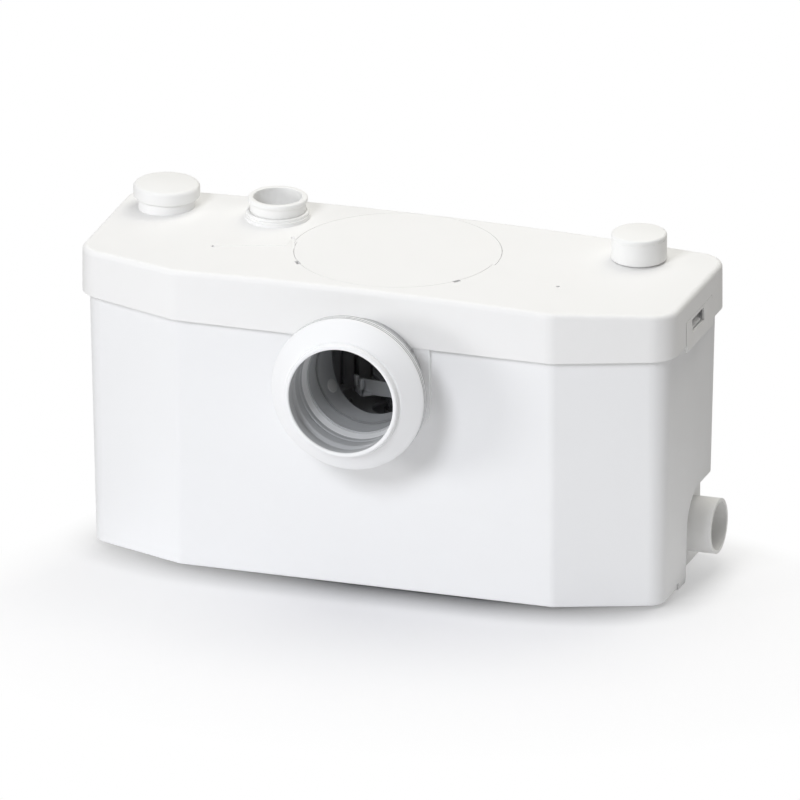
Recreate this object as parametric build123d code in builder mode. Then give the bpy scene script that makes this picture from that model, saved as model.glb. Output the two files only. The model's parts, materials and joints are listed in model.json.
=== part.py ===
from build123d import *
import os
from math import atan, cos, degrees, hypot, pi, radians, sin, sqrt

# Macerator toilet pump: a floor-standing tank with a clip-on lid. Waste from the pan enters the
# soft connector at the front, is cut up in the basket by the blade on top of the motor, and the
# pump below the motor lifts it through a check valve to the collar in the lid.
# Millimetres. z = 0 is the floor, the pan inlet faces -Y on x = 0, and the origin is the middle
# of the floor area that the whole unit covers.

# Fits
rest_gap = 0.3
fit_gap = 0.05
cut_overrun = 2.0
hexagon_sides = 6

# Body plan, shared by the tank and the lid
body_width = 514.0
body_depth = 186.0
chamfer_width = 94.0
chamfer_depth = 35.0
rear_corner_radius = 22.0
side_corner_radius = 27.0
front_corner_radius = 24.0
least_corner_radius = 3.0

# Tank
foot_stand = 2.0
tank_height_to_seam = 218.5
rim_above_seam = 18.0
tank_wall = 3.0
tank_floor = 4.0
tank_draft_inset = 5.7
tank_base_radius = 2.0

# Lid
lid_overhang = 6.0
lid_skirt_height = 39.0
lid_crown_rise = 6.5
lid_wall = 2.5
lid_plate = 3.0
lid_edge_radius = 4.5
lid_rib_setback = 5.6
lid_rib_thickness = 2.6
lid_pin_hole_radius = 1.6
lid_pin_from_side = 108.0
lid_pin_y = -29.0
lid_wedge_rise = 0.25
lid_wedge_end = (-91.0, -7.0)
lid_wedge_half_width = 6.0
seal_height = 3.0

# Pan inlet: block and spigot in the tank's front wall, and the soft connector on it
inlet_below_seam = 32.9
inlet_block_half_width = 58.0
inlet_block_drop = 45.0
inlet_block_radius = 25.0
inlet_block_setback = 2.8
spigot_radius = 49.5
spigot_bore_radius = 44.0
spigot_reach = 5.0
inlet_collar_radius = 47.0
inlet_collar_depth = 23.0
inlet_tube_setback = 13.0
inlet_tube_radius = 43.6
inlet_tube_bore_radius = 42.0
lid_arch_gap = 0.7
sleeve_reach = 54.4
sleeve_bore_radius = 45.0
sleeve_lip_radius = 48.8
sleeve_lip_length = 5.0
sleeve_lip_rounding = 1.4
sleeve_lip_depth = 9.0
sleeve_cone_radius = 52.0
sleeve_flange_radius = 65.8
sleeve_flange_reach = 36.7
sleeve_flange_width = 9.5
sleeve_edge_groove = 0.7
sleeve_edge_groove_count = 2
sleeve_neck_wall = 4.0
sleeve_chamber_radius = 47.6
sleeve_rib_height = 1.2
sleeve_rib_count = 4
clamp_band_width = 9.0
clamp_band_thickness = 0.9
clamp_housing_length = 22.0
clamp_housing_height = 7.0
clamp_screw_radius = 3.2
clamp_screw_length = 32.0

# Recess in each lower rear side, with a waste pipe spigot in it
recess_wall_inset = 22.0
recess_front_from_rear = 80.0
recess_height = 74.5
recess_corner_radius = 30.0
side_inlet_height = 37.2
side_inlet_from_rear = 45.0
side_inlet_reach = 5.7
side_inlet_radius = 23.1
side_inlet_bore_radius = 20.2
side_neck_radius = 22.4
side_neck_length = 12.0
side_nut_radius = 27.0
side_nut_thickness = 5.0
side_nut_sides = 8
flap_seat_radius = 13.0
flap_seat_length = 5.0
flap_radius = 18.0
flap_thickness = 2.5
flap_top_drop = 4.0
flap_pin_height = 18.0
flap_pin_radius = 1.5
flap_knuckle_radius = 2.6
flap_knuckle_width = 9.0
flap_lug_width = 3.0
flap_lug_height = 5.0
side_plug_depth = 12.0
side_plug_wall = 2.5
side_plug_grip_width = 4.0

# Small notch in the bottom edge of each side, where a floor bracket hooks in
bracket_notch_from_middle = -8.0
bracket_notch_width = 6.0
bracket_notch_height = 5.0
bracket_notch_depth = 2.0
bracket_pad_length = 18.0
bracket_pad_width = 9.0

# Rubber feet
foot_radius = 11.0
foot_pocket_depth = 2.0
front_foot_from_side = 107.0
front_foot_from_front = 31.0
rear_foot_from_side = 52.0
rear_foot_from_rear = 38.0

# Snap tongues in the side skirts
latch_width = 67.0
latch_from_middle = 13.0
latch_gap = 0.8
latch_drop = 5.0
latch_rise = 21.0
latch_proud = 1.2
latch_thickness = 2.5
latch_window_width = 31.0
latch_window_from_middle = 9.5
latch_window_low = 7.5
latch_window_height = 11.0
latch_nib_width = 24.0
latch_nib_height = 4.5
latch_nib_rise = 1.0

# Round service cover in the lid
cover_x = -1.0
cover_from_middle = 2.5
cover_radius = 84.0
cover_shoulder_radius = 86.6
cover_shoulder_low = -4.0
cover_gap = 0.4
cover_ledge_inner_radius = 81.0
cover_ledge_thickness = 2.4
cover_rib_thickness = 2.0
cover_rib_depth = 6.0
cover_slot_angle = 36.0
cover_slot_tilt = 54.0
cover_slot_length = 7.0
cover_slot_width = 3.5
cover_slot_offset = 1.0
cover_groove_place = (-88.1, -4.0)
cover_groove_length = 24.0
cover_groove_width = 3.2
cover_groove_angle = 18.4
cover_groove_depth = 1.0

# Vent with its mushroom cap and filter
vent_from_side = 41.0
vent_from_rear = 40.0
vent_neck_radius = 23.4
vent_neck_bore_radius = 20.4
vent_neck_height = 17.2
vent_neck_depth = 16.0
vent_ledge_radius = 16.0
vent_ledge_thickness = 2.0
vent_cap_radius = 27.5
vent_cap_low = 8.6
vent_cap_top = 20.6
vent_cap_plate = 3.0
vent_cap_top_rounding = 3.6
vent_cap_low_rounding = 2.0
filter_height = 24.0
filter_hole_radius = 1.6
filter_hole_count = 8
filter_hole_circle_radius = 12.0

# Top inlet neck with its cap
top_inlet_from_side = 66.0
top_inlet_from_rear = 37.0
top_inlet_radius = 20.0
top_inlet_bore_radius = 17.2
top_inlet_height = 19.0
top_inlet_cap_radius = 23.0
top_inlet_cap_height = 23.4
top_inlet_cap_lift = 1.1
top_inlet_cap_plate = 3.0
top_inlet_cap_rounding = 2.4
top_inlet_cap_foot_rounding = 0.8
top_inlet_cap_groove = 0.5
top_inlet_cap_groove_drop = 3.6

# Discharge collar in the lid
discharge_x = -119.0
discharge_from_rear = 43.0
discharge_pad_radius = 27.0
discharge_pad_height = 2.2
collar_flange_radius = 26.4
collar_flange_height = 3.2
collar_neck_radius = 23.0
collar_bore_radius = 20.0
collar_height = 16.0
collar_lip_radius = 24.7
collar_lip_height = 3.4
collar_lip_rounding = 1.2
collar_stop_drop = 8.0
collar_stop_thickness = 2.5
collar_stop_radius = 15.0
collar_socket_length = 14.0
collar_shank_radius = 22.6
collar_seal_thickness = 1.2

# Pump casing, cover and mounts
pump_mount_height = 6.0
pump_mount_radius = 6.0
pump_mount_circle_radius = 36.0
pump_mount_count = 4
pump_mount_start_angle = 45.0
pump_cover_thickness = 3.0
suction_eye_radius = 16.0
outlet_radius = 11.5
outlet_bore_radius = 9.0
outlet_spigot_length = 14.0
pump_wall = 3.0
volute_margin = 5.5
volute_growth = 13.0
volute_steps = 8
pump_screw_radius = 1.8
pump_screw_head_radius = 3.2
pump_screw_head_height = 2.0
pump_screw_length = 10.0
pump_screw_count = 6
pump_screw_edge = 2.2
pump_screw_start_angle = 25.0

# Motor
can_height = 84.0
can_radius = 52.0
can_wall = 1.5
can_bottom = 2.0
top_plate_thickness = 4.0
top_plate_spigot = 5.0
shaft_radius = 6.0
seal_radius = 10.0
seal_above_plate = 3.0
lower_seal_rise = 5.0
bearing_radius = 13.0
bearing_width = 9.0
bearing_boss_wall = 3.0
bearing_boss_lift = 5.0
stator_lift = 22.0
stator_length = 36.0
stator_bore_radius = 27.0
air_gap = 0.5
winding_inner_radius = 30.0
winding_outer_radius = 46.0
winding_height = 6.0

# Impeller
impeller_clearance = 3.0
impeller_disc_thickness = 3.0
impeller_vane_height = 12.0
impeller_vane_thickness = 2.6
impeller_vane_count = 6
impeller_vane_sweep = -20.0
impeller_hub_radius = 9.0
impeller_top_gap = 2.0
impeller_screw_head_height = 3.0
impeller_screw_head_radius = 8.5

# Grinder basket
basket_bore_radius = 60.0
basket_wall = 3.0
basket_floor = 3.0
basket_above_seam = 17.5
basket_floor_hole_radius = 20.0
basket_slot_count = 18
basket_slot_width = 5.0
basket_slot_low = 8.0
basket_slot_height = 46.0
basket_slot_open_angle = 250.0
basket_slot_middle_angle = 90.0
basket_screw_circle_radius = 42.0
basket_screw_count = 4
basket_screw_radius = 2.0
basket_screw_head_radius = 3.8
basket_screw_head_height = 2.4

# Cutter blade
blade_above_basket = 20.0
blade_thickness = 3.0
blade_hub_radius = 17.0
blade_arm_count = 4
blade_arm_width = 15.0
blade_reach = 35.0
blade_tooth_height = 12.0
blade_tooth_width = 9.0
blade_rest_angle = -140.0
blade_spacer_radius = 9.0
blade_nut_across_flats = 16.0
blade_nut_height = 7.0
shaft_thread_radius = 5.0
shaft_thread_above_nut = 2.0

# Discharge riser and check valve
riser_radius = 14.5
riser_bore_radius = 11.6
riser_bend_radius = 30.0
riser_below_seam = 24.5
riser_spigot_overlap = 12.0
valve_socket_radius = 18.0
valve_socket_depth = 14.0
valve_neck_radius = 20.0
valve_chamber_radius = 17.6
valve_seat_radius = 10.0
valve_seat_thickness = 3.0
valve_flap_radius = 12.5
valve_flap_thickness = 2.5
valve_flap_top_cut = 4.2
valve_pin_offset = 13.4
valve_pin_radius = 1.2
valve_knuckle_radius = 2.2
valve_knuckle_width = 6.0
valve_lug_width = 2.0
valve_lug_gap = 0.3
valve_shoulder = 5.0

# Pressure chamber and switch box
chamber_x = 100.0
chamber_from_middle = -10.0
chamber_radius = 22.0
chamber_wall = 2.5
chamber_below_seam = 32.5
chamber_arch_height = 12.0
chamber_arch_width = 16.0
chamber_flange_radius = 30.0
chamber_flange_height = 4.0
diaphragm_thickness = 1.6
diaphragm_rim = 5.0
plunger_radius = 4.0
plunger_length = 12.0
plunger_foot_radius = 9.0
plunger_foot_height = 2.0
plunger_travel = 2.0
switch_box_left = 72.0
switch_box_spare_length = 14.5
switch_box_front_from_middle = -46.0
switch_box_depth = 76.0
switch_box_height = 46.0
switch_box_wall = 2.5
switch_box_cover_thickness = 2.5
switch_box_screw_inset = 6.5
switch_box_post_radius = 4.6
switch_box_screw_radius = 1.5
switch_box_screw_head_radius = 3.0
switch_box_screw_head_height = 1.8
switch_box_screw_length = 10.0
microswitch_length = 28.0
microswitch_width = 10.5
microswitch_height = 16.0
capacitor_radius = 14.0
capacitor_length = 50.0
capacitor_side_gap = 5.0
capacitor_clip_thickness = 1.2
capacitor_clip_width = 10.0
terminal_length = 34.0
terminal_width = 14.0
terminal_height = 13.0
terminal_hole_radius = 2.2
terminal_hole_count = 4
terminal_hole_pitch = 8.0
terminal_hole_depth = 7.0

# Cable gland in the rear wall
gland_x = 118.0
gland_below_seam = 17.5
gland_radius = 8.0
gland_bore_radius = 3.6
gland_head_across_flats = 20.0
gland_head_length = 5.0
gland_inner_length = 9.0
gland_nut_length = 4.0

# Worked out from the values above
unit_y = sleeve_reach / 2
half_width = body_width / 2
front_y = unit_y - body_depth / 2
rear_y = unit_y + body_depth / 2
tank_base = foot_stand
cavity_z = tank_base + tank_floor
seam_z = tank_base + tank_height_to_seam
rim_z = seam_z + rim_above_seam
draft_angle = degrees(atan(tank_draft_inset / tank_height_to_seam))
lid_crest_z = seam_z + lid_skirt_height + lid_crown_rise
crown_radius = (half_width**2 + lid_crown_rise**2) / (2 * lid_crown_rise)
inlet_z = seam_z - inlet_below_seam
inlet_tube_y = front_y + inlet_tube_setback
sleeve_neck_radius = spigot_radius + sleeve_neck_wall
recess_wall_x = half_width - recess_wall_inset
recess_front_y = rear_y - recess_front_from_rear
recess_top_z = tank_base + recess_height
side_inlet_y = rear_y - side_inlet_from_rear
side_inlet_z = tank_base + side_inlet_height
side_mouth_x = half_width + side_inlet_reach
pump_cover_z = cavity_z + pump_mount_height
pump_casing_z = pump_cover_z + pump_cover_thickness
pump_chamber_height = 2 * outlet_radius - pump_wall
can_z = pump_casing_z + 2 * outlet_radius
can_top_z = can_z + can_height
basket_z = can_top_z + top_plate_thickness
basket_top_z = seam_z + basket_above_seam
discharge_y = rear_y - discharge_from_rear
outlet_y = discharge_y
outlet_z = pump_casing_z + outlet_radius
casing_radius = outlet_y - unit_y + outlet_radius
volute_end_radius = casing_radius - volute_margin
volute_start_radius = volute_end_radius - volute_growth
impeller_radius = volute_start_radius - impeller_clearance
pump_screw_circle_radius = casing_radius - pump_screw_edge
blade_z = basket_z + blade_above_basket
riser_top = seam_z - riser_below_seam
chamber_top = seam_z - chamber_below_seam
chamber_y = unit_y + chamber_from_middle
switch_box_y = unit_y + switch_box_front_from_middle
switch_box_z = chamber_top + diaphragm_thickness
microswitch_end_x = chamber_x + microswitch_length / 2
capacitor_room = 2 * capacitor_radius + capacitor_side_gap
switch_box_right = microswitch_end_x + switch_box_spare_length + capacitor_room + switch_box_wall
switch_box_length = switch_box_right - switch_box_left
gland_height = seam_z - gland_below_seam
vent_x = vent_from_side - half_width
vent_y = rear_y - vent_from_rear
top_inlet_x = half_width - top_inlet_from_side
top_inlet_y = rear_y - top_inlet_from_rear
lid_pin_x = half_width - lid_pin_from_side
cover_y = unit_y + cover_from_middle
motor_axis = Axis((0, unit_y, 0), (0, 0, 1))
inlet_axis = Axis((0, 0, inlet_z), (0, 1, 0))


def tank_inset(z):
    """How far the tank's outer wall lies inside the lid's outline at a height"""
    return lid_overhang + (seam_z - z) * tank_draft_inset / tank_height_to_seam


def crown_z(x):
    """Height of the lid's crowned top"""
    return lid_crest_z - crown_radius + sqrt(crown_radius**2 - x**2)


def plan(inset, mode=Mode.ADD):
    """Six-cornered body plan in the active sketch, inset from the lid's outline"""
    chamfer_length = hypot(chamfer_width, chamfer_depth)
    side_x = half_width - inset
    side_y = front_y + chamfer_depth + inset * (chamfer_length - chamfer_depth) / chamfer_width
    nose_x = half_width - chamfer_width - inset * (chamfer_length - chamfer_width) / chamfer_depth
    right = [(nose_x, front_y + inset), (side_x, side_y), (side_x, rear_y - inset)]
    left = [(-x, y) for x, y in reversed(right)]
    radii = [front_corner_radius, side_corner_radius, rear_corner_radius]
    radii = [max(radius - inset, least_corner_radius) for radius in radii]
    with BuildLine() as outline:
        FilletPolyline(*right, *left, radius=radii + radii[::-1], close=True)
    make_face(outline.edges(), mode=mode)


def upright(x, y):
    """Plane through a vertical axis, with its first direction along X and its second up"""
    return Plane(origin=(x, y, 0), x_dir=(1, 0, 0), z_dir=(0, -1, 0))


def turned(points, plane, axis, mode=Mode.ADD):
    """Revolve a closed outline in the active part"""
    with BuildSketch(plane) as outline:
        with BuildLine():
            Polyline(*points, close=True)
        make_face()
    revolve(outline.sketch, axis=axis, mode=mode)


def crowned_layer(top_drop, bottom_drop, mode=Mode.INTERSECT):
    """Keep what lies between two copies of the crown, each lowered by a drop"""
    reach = half_width + cut_overrun
    side_z = crown_z(reach)
    with BuildSketch(Plane.XZ) as layer:
        with BuildLine():
            upper = ThreePointArc(
                (-reach, side_z - top_drop), (0, lid_crest_z - top_drop), (reach, side_z - top_drop)
            )
            lower = ThreePointArc(
                (-reach, side_z - bottom_drop),
                (0, lid_crest_z - bottom_drop),
                (reach, side_z - bottom_drop),
            )
            Line(upper @ 0, lower @ 0)
            Line(upper @ 1, lower @ 1)
        make_face()
    extrude(layer.sketch, amount=body_depth, both=True, mode=mode)


def recess_outline(grow):
    """Outline of a side recess in a YZ sketch, grown by a wall"""
    low = tank_base - cut_overrun
    back = rear_y + cut_overrun
    front = recess_front_y - grow
    top = recess_top_z + grow
    radius = recess_corner_radius + grow
    with BuildLine() as outline:
        foot = Line((back, low), (front, low))
        front_edge = Line(foot @ 1, (front, top - radius))
        bend = RadiusArc(front_edge @ 1, (front + radius, top), radius)
        roof = Line(bend @ 1, (back, top))
        Line(roof @ 1, foot @ 0)
    make_face(outline.edges())


def side_plane(side, x):
    """YZ plane at a distance to one side of the middle"""
    return Plane.YZ.offset(side * x)


def cover_outline(grow):
    """Round outline of the service cover, with wider shoulders towards the rear"""
    with BuildSketch() as outline:
        with Locations((cover_x, cover_y)):
            Circle(cover_shoulder_radius + grow)
        with Locations((cover_x, cover_y + cover_shoulder_low - grow)):
            Rectangle(
                2 * (cover_shoulder_radius + grow),
                cover_shoulder_radius + grow,
                align=(Align.CENTER, Align.MAX),
                mode=Mode.SUBTRACT,
            )
        with Locations((cover_x, cover_y)):
            Circle(cover_radius + grow)
    return outline.sketch


# Tank
with BuildPart() as tank_cavity:
    with BuildSketch(Plane.XY.offset(cavity_z)):
        plan(tank_inset(cavity_z) + tank_wall)
    extrude(amount=rim_z + cut_overrun - cavity_z, taper=-draft_angle)
    for side in (-1, 1):
        with BuildSketch(side_plane(side, recess_wall_x - tank_wall)):
            recess_outline(tank_wall)
        extrude(amount=side * (recess_wall_inset + tank_wall), mode=Mode.SUBTRACT)

with BuildPart() as tank:
    with BuildSketch(Plane.XY.offset(tank_base)):
        plan(tank_inset(tank_base))
    extrude(amount=rim_z - tank_base, taper=-draft_angle)
    fillet(tank.faces().sort_by(Axis.Z)[0].edges(), tank_base_radius)
    for side in (-1, 1):
        with BuildSketch(side_plane(side, recess_wall_x)):
            recess_outline(0)
        extrude(amount=side * recess_wall_inset, mode=Mode.SUBTRACT)
    # Block behind the pan connector, with the spigot on its face
    inlet_block_back = front_y + tank_inset(inlet_z) + tank_wall
    with BuildSketch(Plane.XZ.offset(-inlet_block_back)):
        with Locations((0, inlet_z - inlet_block_drop)):
            RectangleRounded(
                2 * inlet_block_half_width,
                inlet_block_drop + rim_z - inlet_z + inlet_block_radius + cut_overrun,
                inlet_block_radius,
                align=(Align.CENTER, Align.MIN),
            )
    extrude(amount=inlet_block_back - front_y - inlet_block_setback)
    split(bisect_by=Plane.XY.offset(rim_z), keep=Keep.BOTTOM)
    with BuildSketch(Plane.XZ.offset(-inlet_block_back)):
        with Locations((0, inlet_z)):
            Circle(spigot_radius)
    extrude(amount=inlet_block_back - front_y + spigot_reach)
    add(tank_cavity.part, mode=Mode.SUBTRACT)
    inlet_collar_y = front_y + inlet_collar_depth
    with BuildSketch(Plane.XZ.offset(-inlet_collar_y)):
        with Locations((0, inlet_z)):
            Circle(inlet_collar_radius)
    extrude(amount=inlet_collar_y - front_y - tank_inset(inlet_z))
    with BuildSketch(Plane.XZ.offset(-inlet_collar_y - cut_overrun)):
        with Locations((0, inlet_z)):
            Circle(spigot_bore_radius)
    extrude(amount=inlet_collar_depth + spigot_reach + 2 * cut_overrun, mode=Mode.SUBTRACT)
    # Holes for the side spigots, and the bracket notches
    for side in (-1, 1):
        with BuildSketch(side_plane(side, recess_wall_x - tank_wall - cut_overrun)):
            with Locations((side_inlet_y, side_inlet_z)):
                Circle(side_neck_radius + fit_gap)
        extrude(amount=side * (tank_wall + 2 * cut_overrun), mode=Mode.SUBTRACT)
        notch_x = half_width - tank_inset(tank_base) - bracket_notch_depth
        with BuildSketch(side_plane(side, notch_x)):
            with Locations((unit_y + bracket_notch_from_middle, tank_base)):
                Rectangle(bracket_notch_width, 2 * bracket_notch_height)
        extrude(amount=side * recess_wall_inset, mode=Mode.SUBTRACT)
        # Pad under the edge beside the notch
        pad_front_y = unit_y + bracket_notch_from_middle + bracket_notch_width / 2
        with BuildSketch(side_plane(side, notch_x - bracket_pad_width + bracket_notch_depth)):
            with Locations((pad_front_y, rest_gap)):
                Rectangle(
                    bracket_pad_length, tank_base + tank_base_radius, align=(Align.MIN, Align.MIN)
                )
        extrude(amount=side * (bracket_pad_width - rest_gap))
        # Nib behind the window of the snap tongue
        nib_low = seam_z + latch_window_low + latch_nib_rise
        nib_tip_x = half_width + latch_proud - latch_thickness - rest_gap
        nib_root_x = half_width - tank_inset(rim_z) - tank_wall / 2
        nib_plane = Plane(
            origin=(0, unit_y + latch_window_from_middle, 0), x_dir=(1, 0, 0), z_dir=(0, -1, 0)
        )
        with BuildSketch(nib_plane):
            with BuildLine():
                Polyline(
                    (side * nib_root_x, nib_low),
                    (side * nib_tip_x, nib_low),
                    (side * nib_tip_x, nib_low + latch_nib_rise),
                    (side * nib_root_x, nib_low + latch_nib_height),
                    close=True,
                )
            make_face()
        extrude(amount=latch_nib_width / 2, both=True)
        # Notch in the rim above the nib
        with BuildSketch(side_plane(side, half_width + cut_overrun)):
            with Locations((nib_plane.origin.Y, nib_low + latch_nib_height)):
                Rectangle(latch_window_width, rim_z - nib_low, align=(Align.CENTER, Align.MIN))
        extrude(
            amount=-side * (tank_inset(seam_z) + tank_wall + 2 * cut_overrun), mode=Mode.SUBTRACT
        )
    # Pockets for the feet
    foot_places = [
        (side * x, y)
        for side in (-1, 1)
        for x, y in (
            (half_width - front_foot_from_side, front_y + front_foot_from_front),
            (half_width - rear_foot_from_side, rear_y - rear_foot_from_rear),
        )
    ]
    with BuildSketch(Plane.XY.offset(tank_base - cut_overrun)):
        with Locations(*foot_places):
            Circle(foot_radius + fit_gap)
    extrude(amount=foot_pocket_depth + cut_overrun, mode=Mode.SUBTRACT)
    # Hole for the cable gland
    with BuildSketch(Plane.XZ.offset(-rear_y)):
        with Locations((gland_x, gland_height)):
            Circle(gland_radius + fit_gap)
    extrude(amount=tank_inset(gland_height) + tank_wall + cut_overrun, mode=Mode.SUBTRACT)

with BuildPart() as rubber_feet:
    with BuildSketch():
        with Locations(*foot_places):
            Circle(foot_radius)
    extrude(amount=foot_stand + foot_pocket_depth)

with BuildPart() as lid_seal:
    with BuildSketch(Plane.XY.offset(rim_z)):
        plan(tank_inset(rim_z))
        plan(tank_inset(rim_z) + tank_wall, mode=Mode.SUBTRACT)
    extrude(amount=seal_height)

# Lid
rib_low_z = rim_z + seal_height + rest_gap
with BuildPart() as lid_hollow:
    with BuildSketch(Plane.XY.offset(seam_z - cut_overrun)):
        plan(lid_wall)
    extrude(amount=lid_crest_z - seam_z + cut_overrun)
    with BuildSketch(Plane.XY.offset(rib_low_z)):
        plan(lid_rib_setback)
        plan(lid_rib_setback + lid_rib_thickness, mode=Mode.SUBTRACT)
    extrude(amount=lid_crest_z - rib_low_z, mode=Mode.SUBTRACT)
    crowned_layer(lid_plate, lid_crest_z)

with BuildPart() as cover_ledge:
    with BuildSketch(Plane.XY.offset(seam_z)):
        with Locations((cover_x, cover_y)):
            Circle(cover_shoulder_radius + cover_ledge_thickness)
            Circle(cover_ledge_inner_radius, mode=Mode.SUBTRACT)
    extrude(amount=lid_crest_z - seam_z)
    crowned_layer(lid_plate, lid_plate + cover_ledge_thickness)

# Faint raised wedge that points at the cover's groove
with BuildPart() as lid_wedge:
    with BuildSketch(Plane.XY.offset(seam_z)):
        with BuildLine():
            Polyline(
                (-lid_pin_x, unit_y + lid_pin_y),
                (lid_wedge_end[0], unit_y + lid_wedge_end[1] - lid_wedge_half_width),
                (lid_wedge_end[0], unit_y + lid_wedge_end[1] + lid_wedge_half_width),
                close=True,
            )
        make_face()
    extrude(amount=lid_crest_z - seam_z)
    crowned_layer(-lid_wedge_rise, lid_plate / 2)

with BuildPart() as cover_slots:
    cover_slot_radius = cover_radius + cover_slot_offset
    slot_x = cover_slot_radius * cos(radians(cover_slot_angle))
    slot_y = cover_y - cover_slot_radius * sin(radians(cover_slot_angle))
    with BuildSketch(Plane.XY.offset(seam_z)):
        for sign in (-1, 1):
            with Locations((cover_x + sign * slot_x, slot_y)):
                Rectangle(cover_slot_length, cover_slot_width, rotation=sign * cover_slot_tilt)
    extrude(amount=lid_crest_z - seam_z)

with BuildPart() as cover_groove:
    with BuildSketch(Plane.XY.offset(seam_z)):
        with Locations((cover_groove_place[0], unit_y + cover_groove_place[1])):
            Rectangle(cover_groove_width, cover_groove_length, rotation=cover_groove_angle)
    extrude(amount=lid_crest_z - seam_z)
    crowned_layer(-cut_overrun, cover_groove_depth)

vent_z = crown_z(vent_x)
top_inlet_z = crown_z(top_inlet_x)
discharge_pad_z = crown_z(discharge_x) + discharge_pad_height
with BuildPart() as lid:
    with BuildSketch(Plane.XY.offset(seam_z)):
        plan(0)
    extrude(amount=lid_crest_z + cut_overrun - seam_z)
    crowned_layer(0, lid_crest_z)
    fillet(lid.faces().sort_by(Axis.Z)[-1].edges(), lid_edge_radius)
    add(lid_hollow.part, mode=Mode.SUBTRACT)
    # Round opening of the service cover, and the ledge that the cover rests on
    add(lid_wedge.part)
    extrude(cover_outline(cover_gap), amount=lid_crest_z + cut_overrun, mode=Mode.SUBTRACT)
    add(cover_ledge.part)
    add(cover_slots.part, mode=Mode.SUBTRACT)
    add(cover_groove.part, mode=Mode.SUBTRACT)
    # Vent neck, top inlet neck and discharge pad
    with BuildSketch(Plane.XY.offset(vent_z - vent_neck_depth)):
        with Locations((vent_x, vent_y)):
            Circle(vent_neck_radius)
    extrude(amount=vent_neck_depth + vent_neck_height)
    with BuildSketch(Plane.XY.offset(vent_z - vent_neck_depth + vent_ledge_thickness)):
        with Locations((vent_x, vent_y)):
            Circle(vent_neck_bore_radius)
    extrude(amount=vent_neck_depth + vent_neck_height, mode=Mode.SUBTRACT)
    with BuildSketch(Plane.XY.offset(vent_z - vent_neck_depth - cut_overrun)):
        with Locations((vent_x, vent_y)):
            Circle(vent_ledge_radius)
    extrude(amount=vent_ledge_thickness + 2 * cut_overrun, mode=Mode.SUBTRACT)
    with BuildSketch(Plane.XY.offset(top_inlet_z - lid_plate)):
        with Locations((top_inlet_x, top_inlet_y)):
            Circle(top_inlet_radius)
    extrude(amount=lid_plate + top_inlet_height)
    with BuildSketch(Plane.XY.offset(top_inlet_z - 2 * lid_plate)):
        with Locations((top_inlet_x, top_inlet_y)):
            Circle(top_inlet_bore_radius)
    extrude(amount=top_inlet_height + 2 * lid_plate + cut_overrun, mode=Mode.SUBTRACT)
    with BuildSketch(Plane.XY.offset(discharge_pad_z - discharge_pad_height - lid_plate)):
        with Locations((discharge_x, discharge_y)):
            Circle(discharge_pad_radius)
    extrude(amount=discharge_pad_height + lid_plate)
    with BuildSketch(Plane.XY.offset(discharge_pad_z - discharge_pad_height - 2 * lid_plate)):
        with Locations((discharge_x, discharge_y)):
            Circle(collar_shank_radius + fit_gap)
    extrude(amount=discharge_pad_height + 2 * lid_plate + cut_overrun, mode=Mode.SUBTRACT)
    # Arch over the pan connector in the front skirt
    with BuildSketch(Plane.XZ.offset(cut_overrun - front_y)):
        with Locations((0, inlet_z)):
            Circle(sleeve_neck_radius + lid_arch_gap)
    extrude(amount=-(lid_wall + 2 * cut_overrun), mode=Mode.SUBTRACT)
    # Slots for the snap tongues
    latch_slot_width = latch_width + 2 * latch_gap
    latch_slot_top = seam_z + latch_rise + rest_gap
    for side in (-1, 1):
        with BuildSketch(side_plane(side, half_width - lid_wall - cut_overrun)):
            with Locations((unit_y + latch_from_middle, latch_slot_top)):
                Rectangle(
                    latch_slot_width,
                    latch_slot_top - seam_z + cut_overrun,
                    align=(Align.CENTER, Align.MAX),
                )
        extrude(amount=side * (lid_wall + 2 * cut_overrun), mode=Mode.SUBTRACT)
    # Two small holes beside the cover
    with BuildSketch(Plane.XY.offset(seam_z)):
        with Locations((-lid_pin_x, unit_y + lid_pin_y), (lid_pin_x, unit_y + lid_pin_y)):
            Circle(lid_pin_hole_radius)
    extrude(amount=lid_crest_z - seam_z, mode=Mode.SUBTRACT)

with BuildPart() as service_cover:
    extrude(cover_outline(0), amount=lid_crest_z + cut_overrun)
    crowned_layer(0, lid_plate - rest_gap)
    cover_rib_radius = cover_ledge_inner_radius - rest_gap
    cover_rib_z = crown_z(cover_rib_radius) - lid_plate - cover_rib_depth
    with BuildSketch(Plane.XY.offset(cover_rib_z)):
        with Locations((cover_x, cover_y)):
            Circle(cover_rib_radius)
            Circle(cover_rib_radius - cover_rib_thickness, mode=Mode.SUBTRACT)
    extrude(amount=cover_rib_depth + lid_plate / 2)
    add(cover_slots.part, mode=Mode.SUBTRACT)
    add(cover_groove.part, mode=Mode.SUBTRACT)


def make_latch(side):
    """Snap tongue with its window, hanging in the slot of one side skirt"""
    inner_x = half_width + latch_proud - latch_thickness
    foot_x = half_width + latch_proud
    foot_z = seam_z - latch_drop
    with BuildPart() as latch:
        with BuildSketch(upright(0, unit_y + latch_from_middle)):
            with BuildLine():
                Polyline(
                    (side * inner_x, seam_z + latch_rise),
                    (side * inner_x, foot_z),
                    (side * (foot_x - latch_proud / 2), foot_z),
                    (side * foot_x, foot_z + latch_proud),
                    (side * foot_x, seam_z),
                    (side * half_width, seam_z + latch_rise),
                    close=True,
                )
            make_face()
        extrude(amount=latch_width / 2, both=True)
        with BuildSketch(side_plane(side, inner_x - cut_overrun)):
            with Locations((unit_y + latch_window_from_middle, seam_z + latch_window_low)):
                Rectangle(
                    latch_window_width, latch_window_height, align=(Align.CENTER, Align.MIN)
                )
        extrude(amount=side * (latch_thickness + 2 * cut_overrun), mode=Mode.SUBTRACT)
    return latch.part


latch_right = make_latch(1)
latch_left = make_latch(-1)

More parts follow.
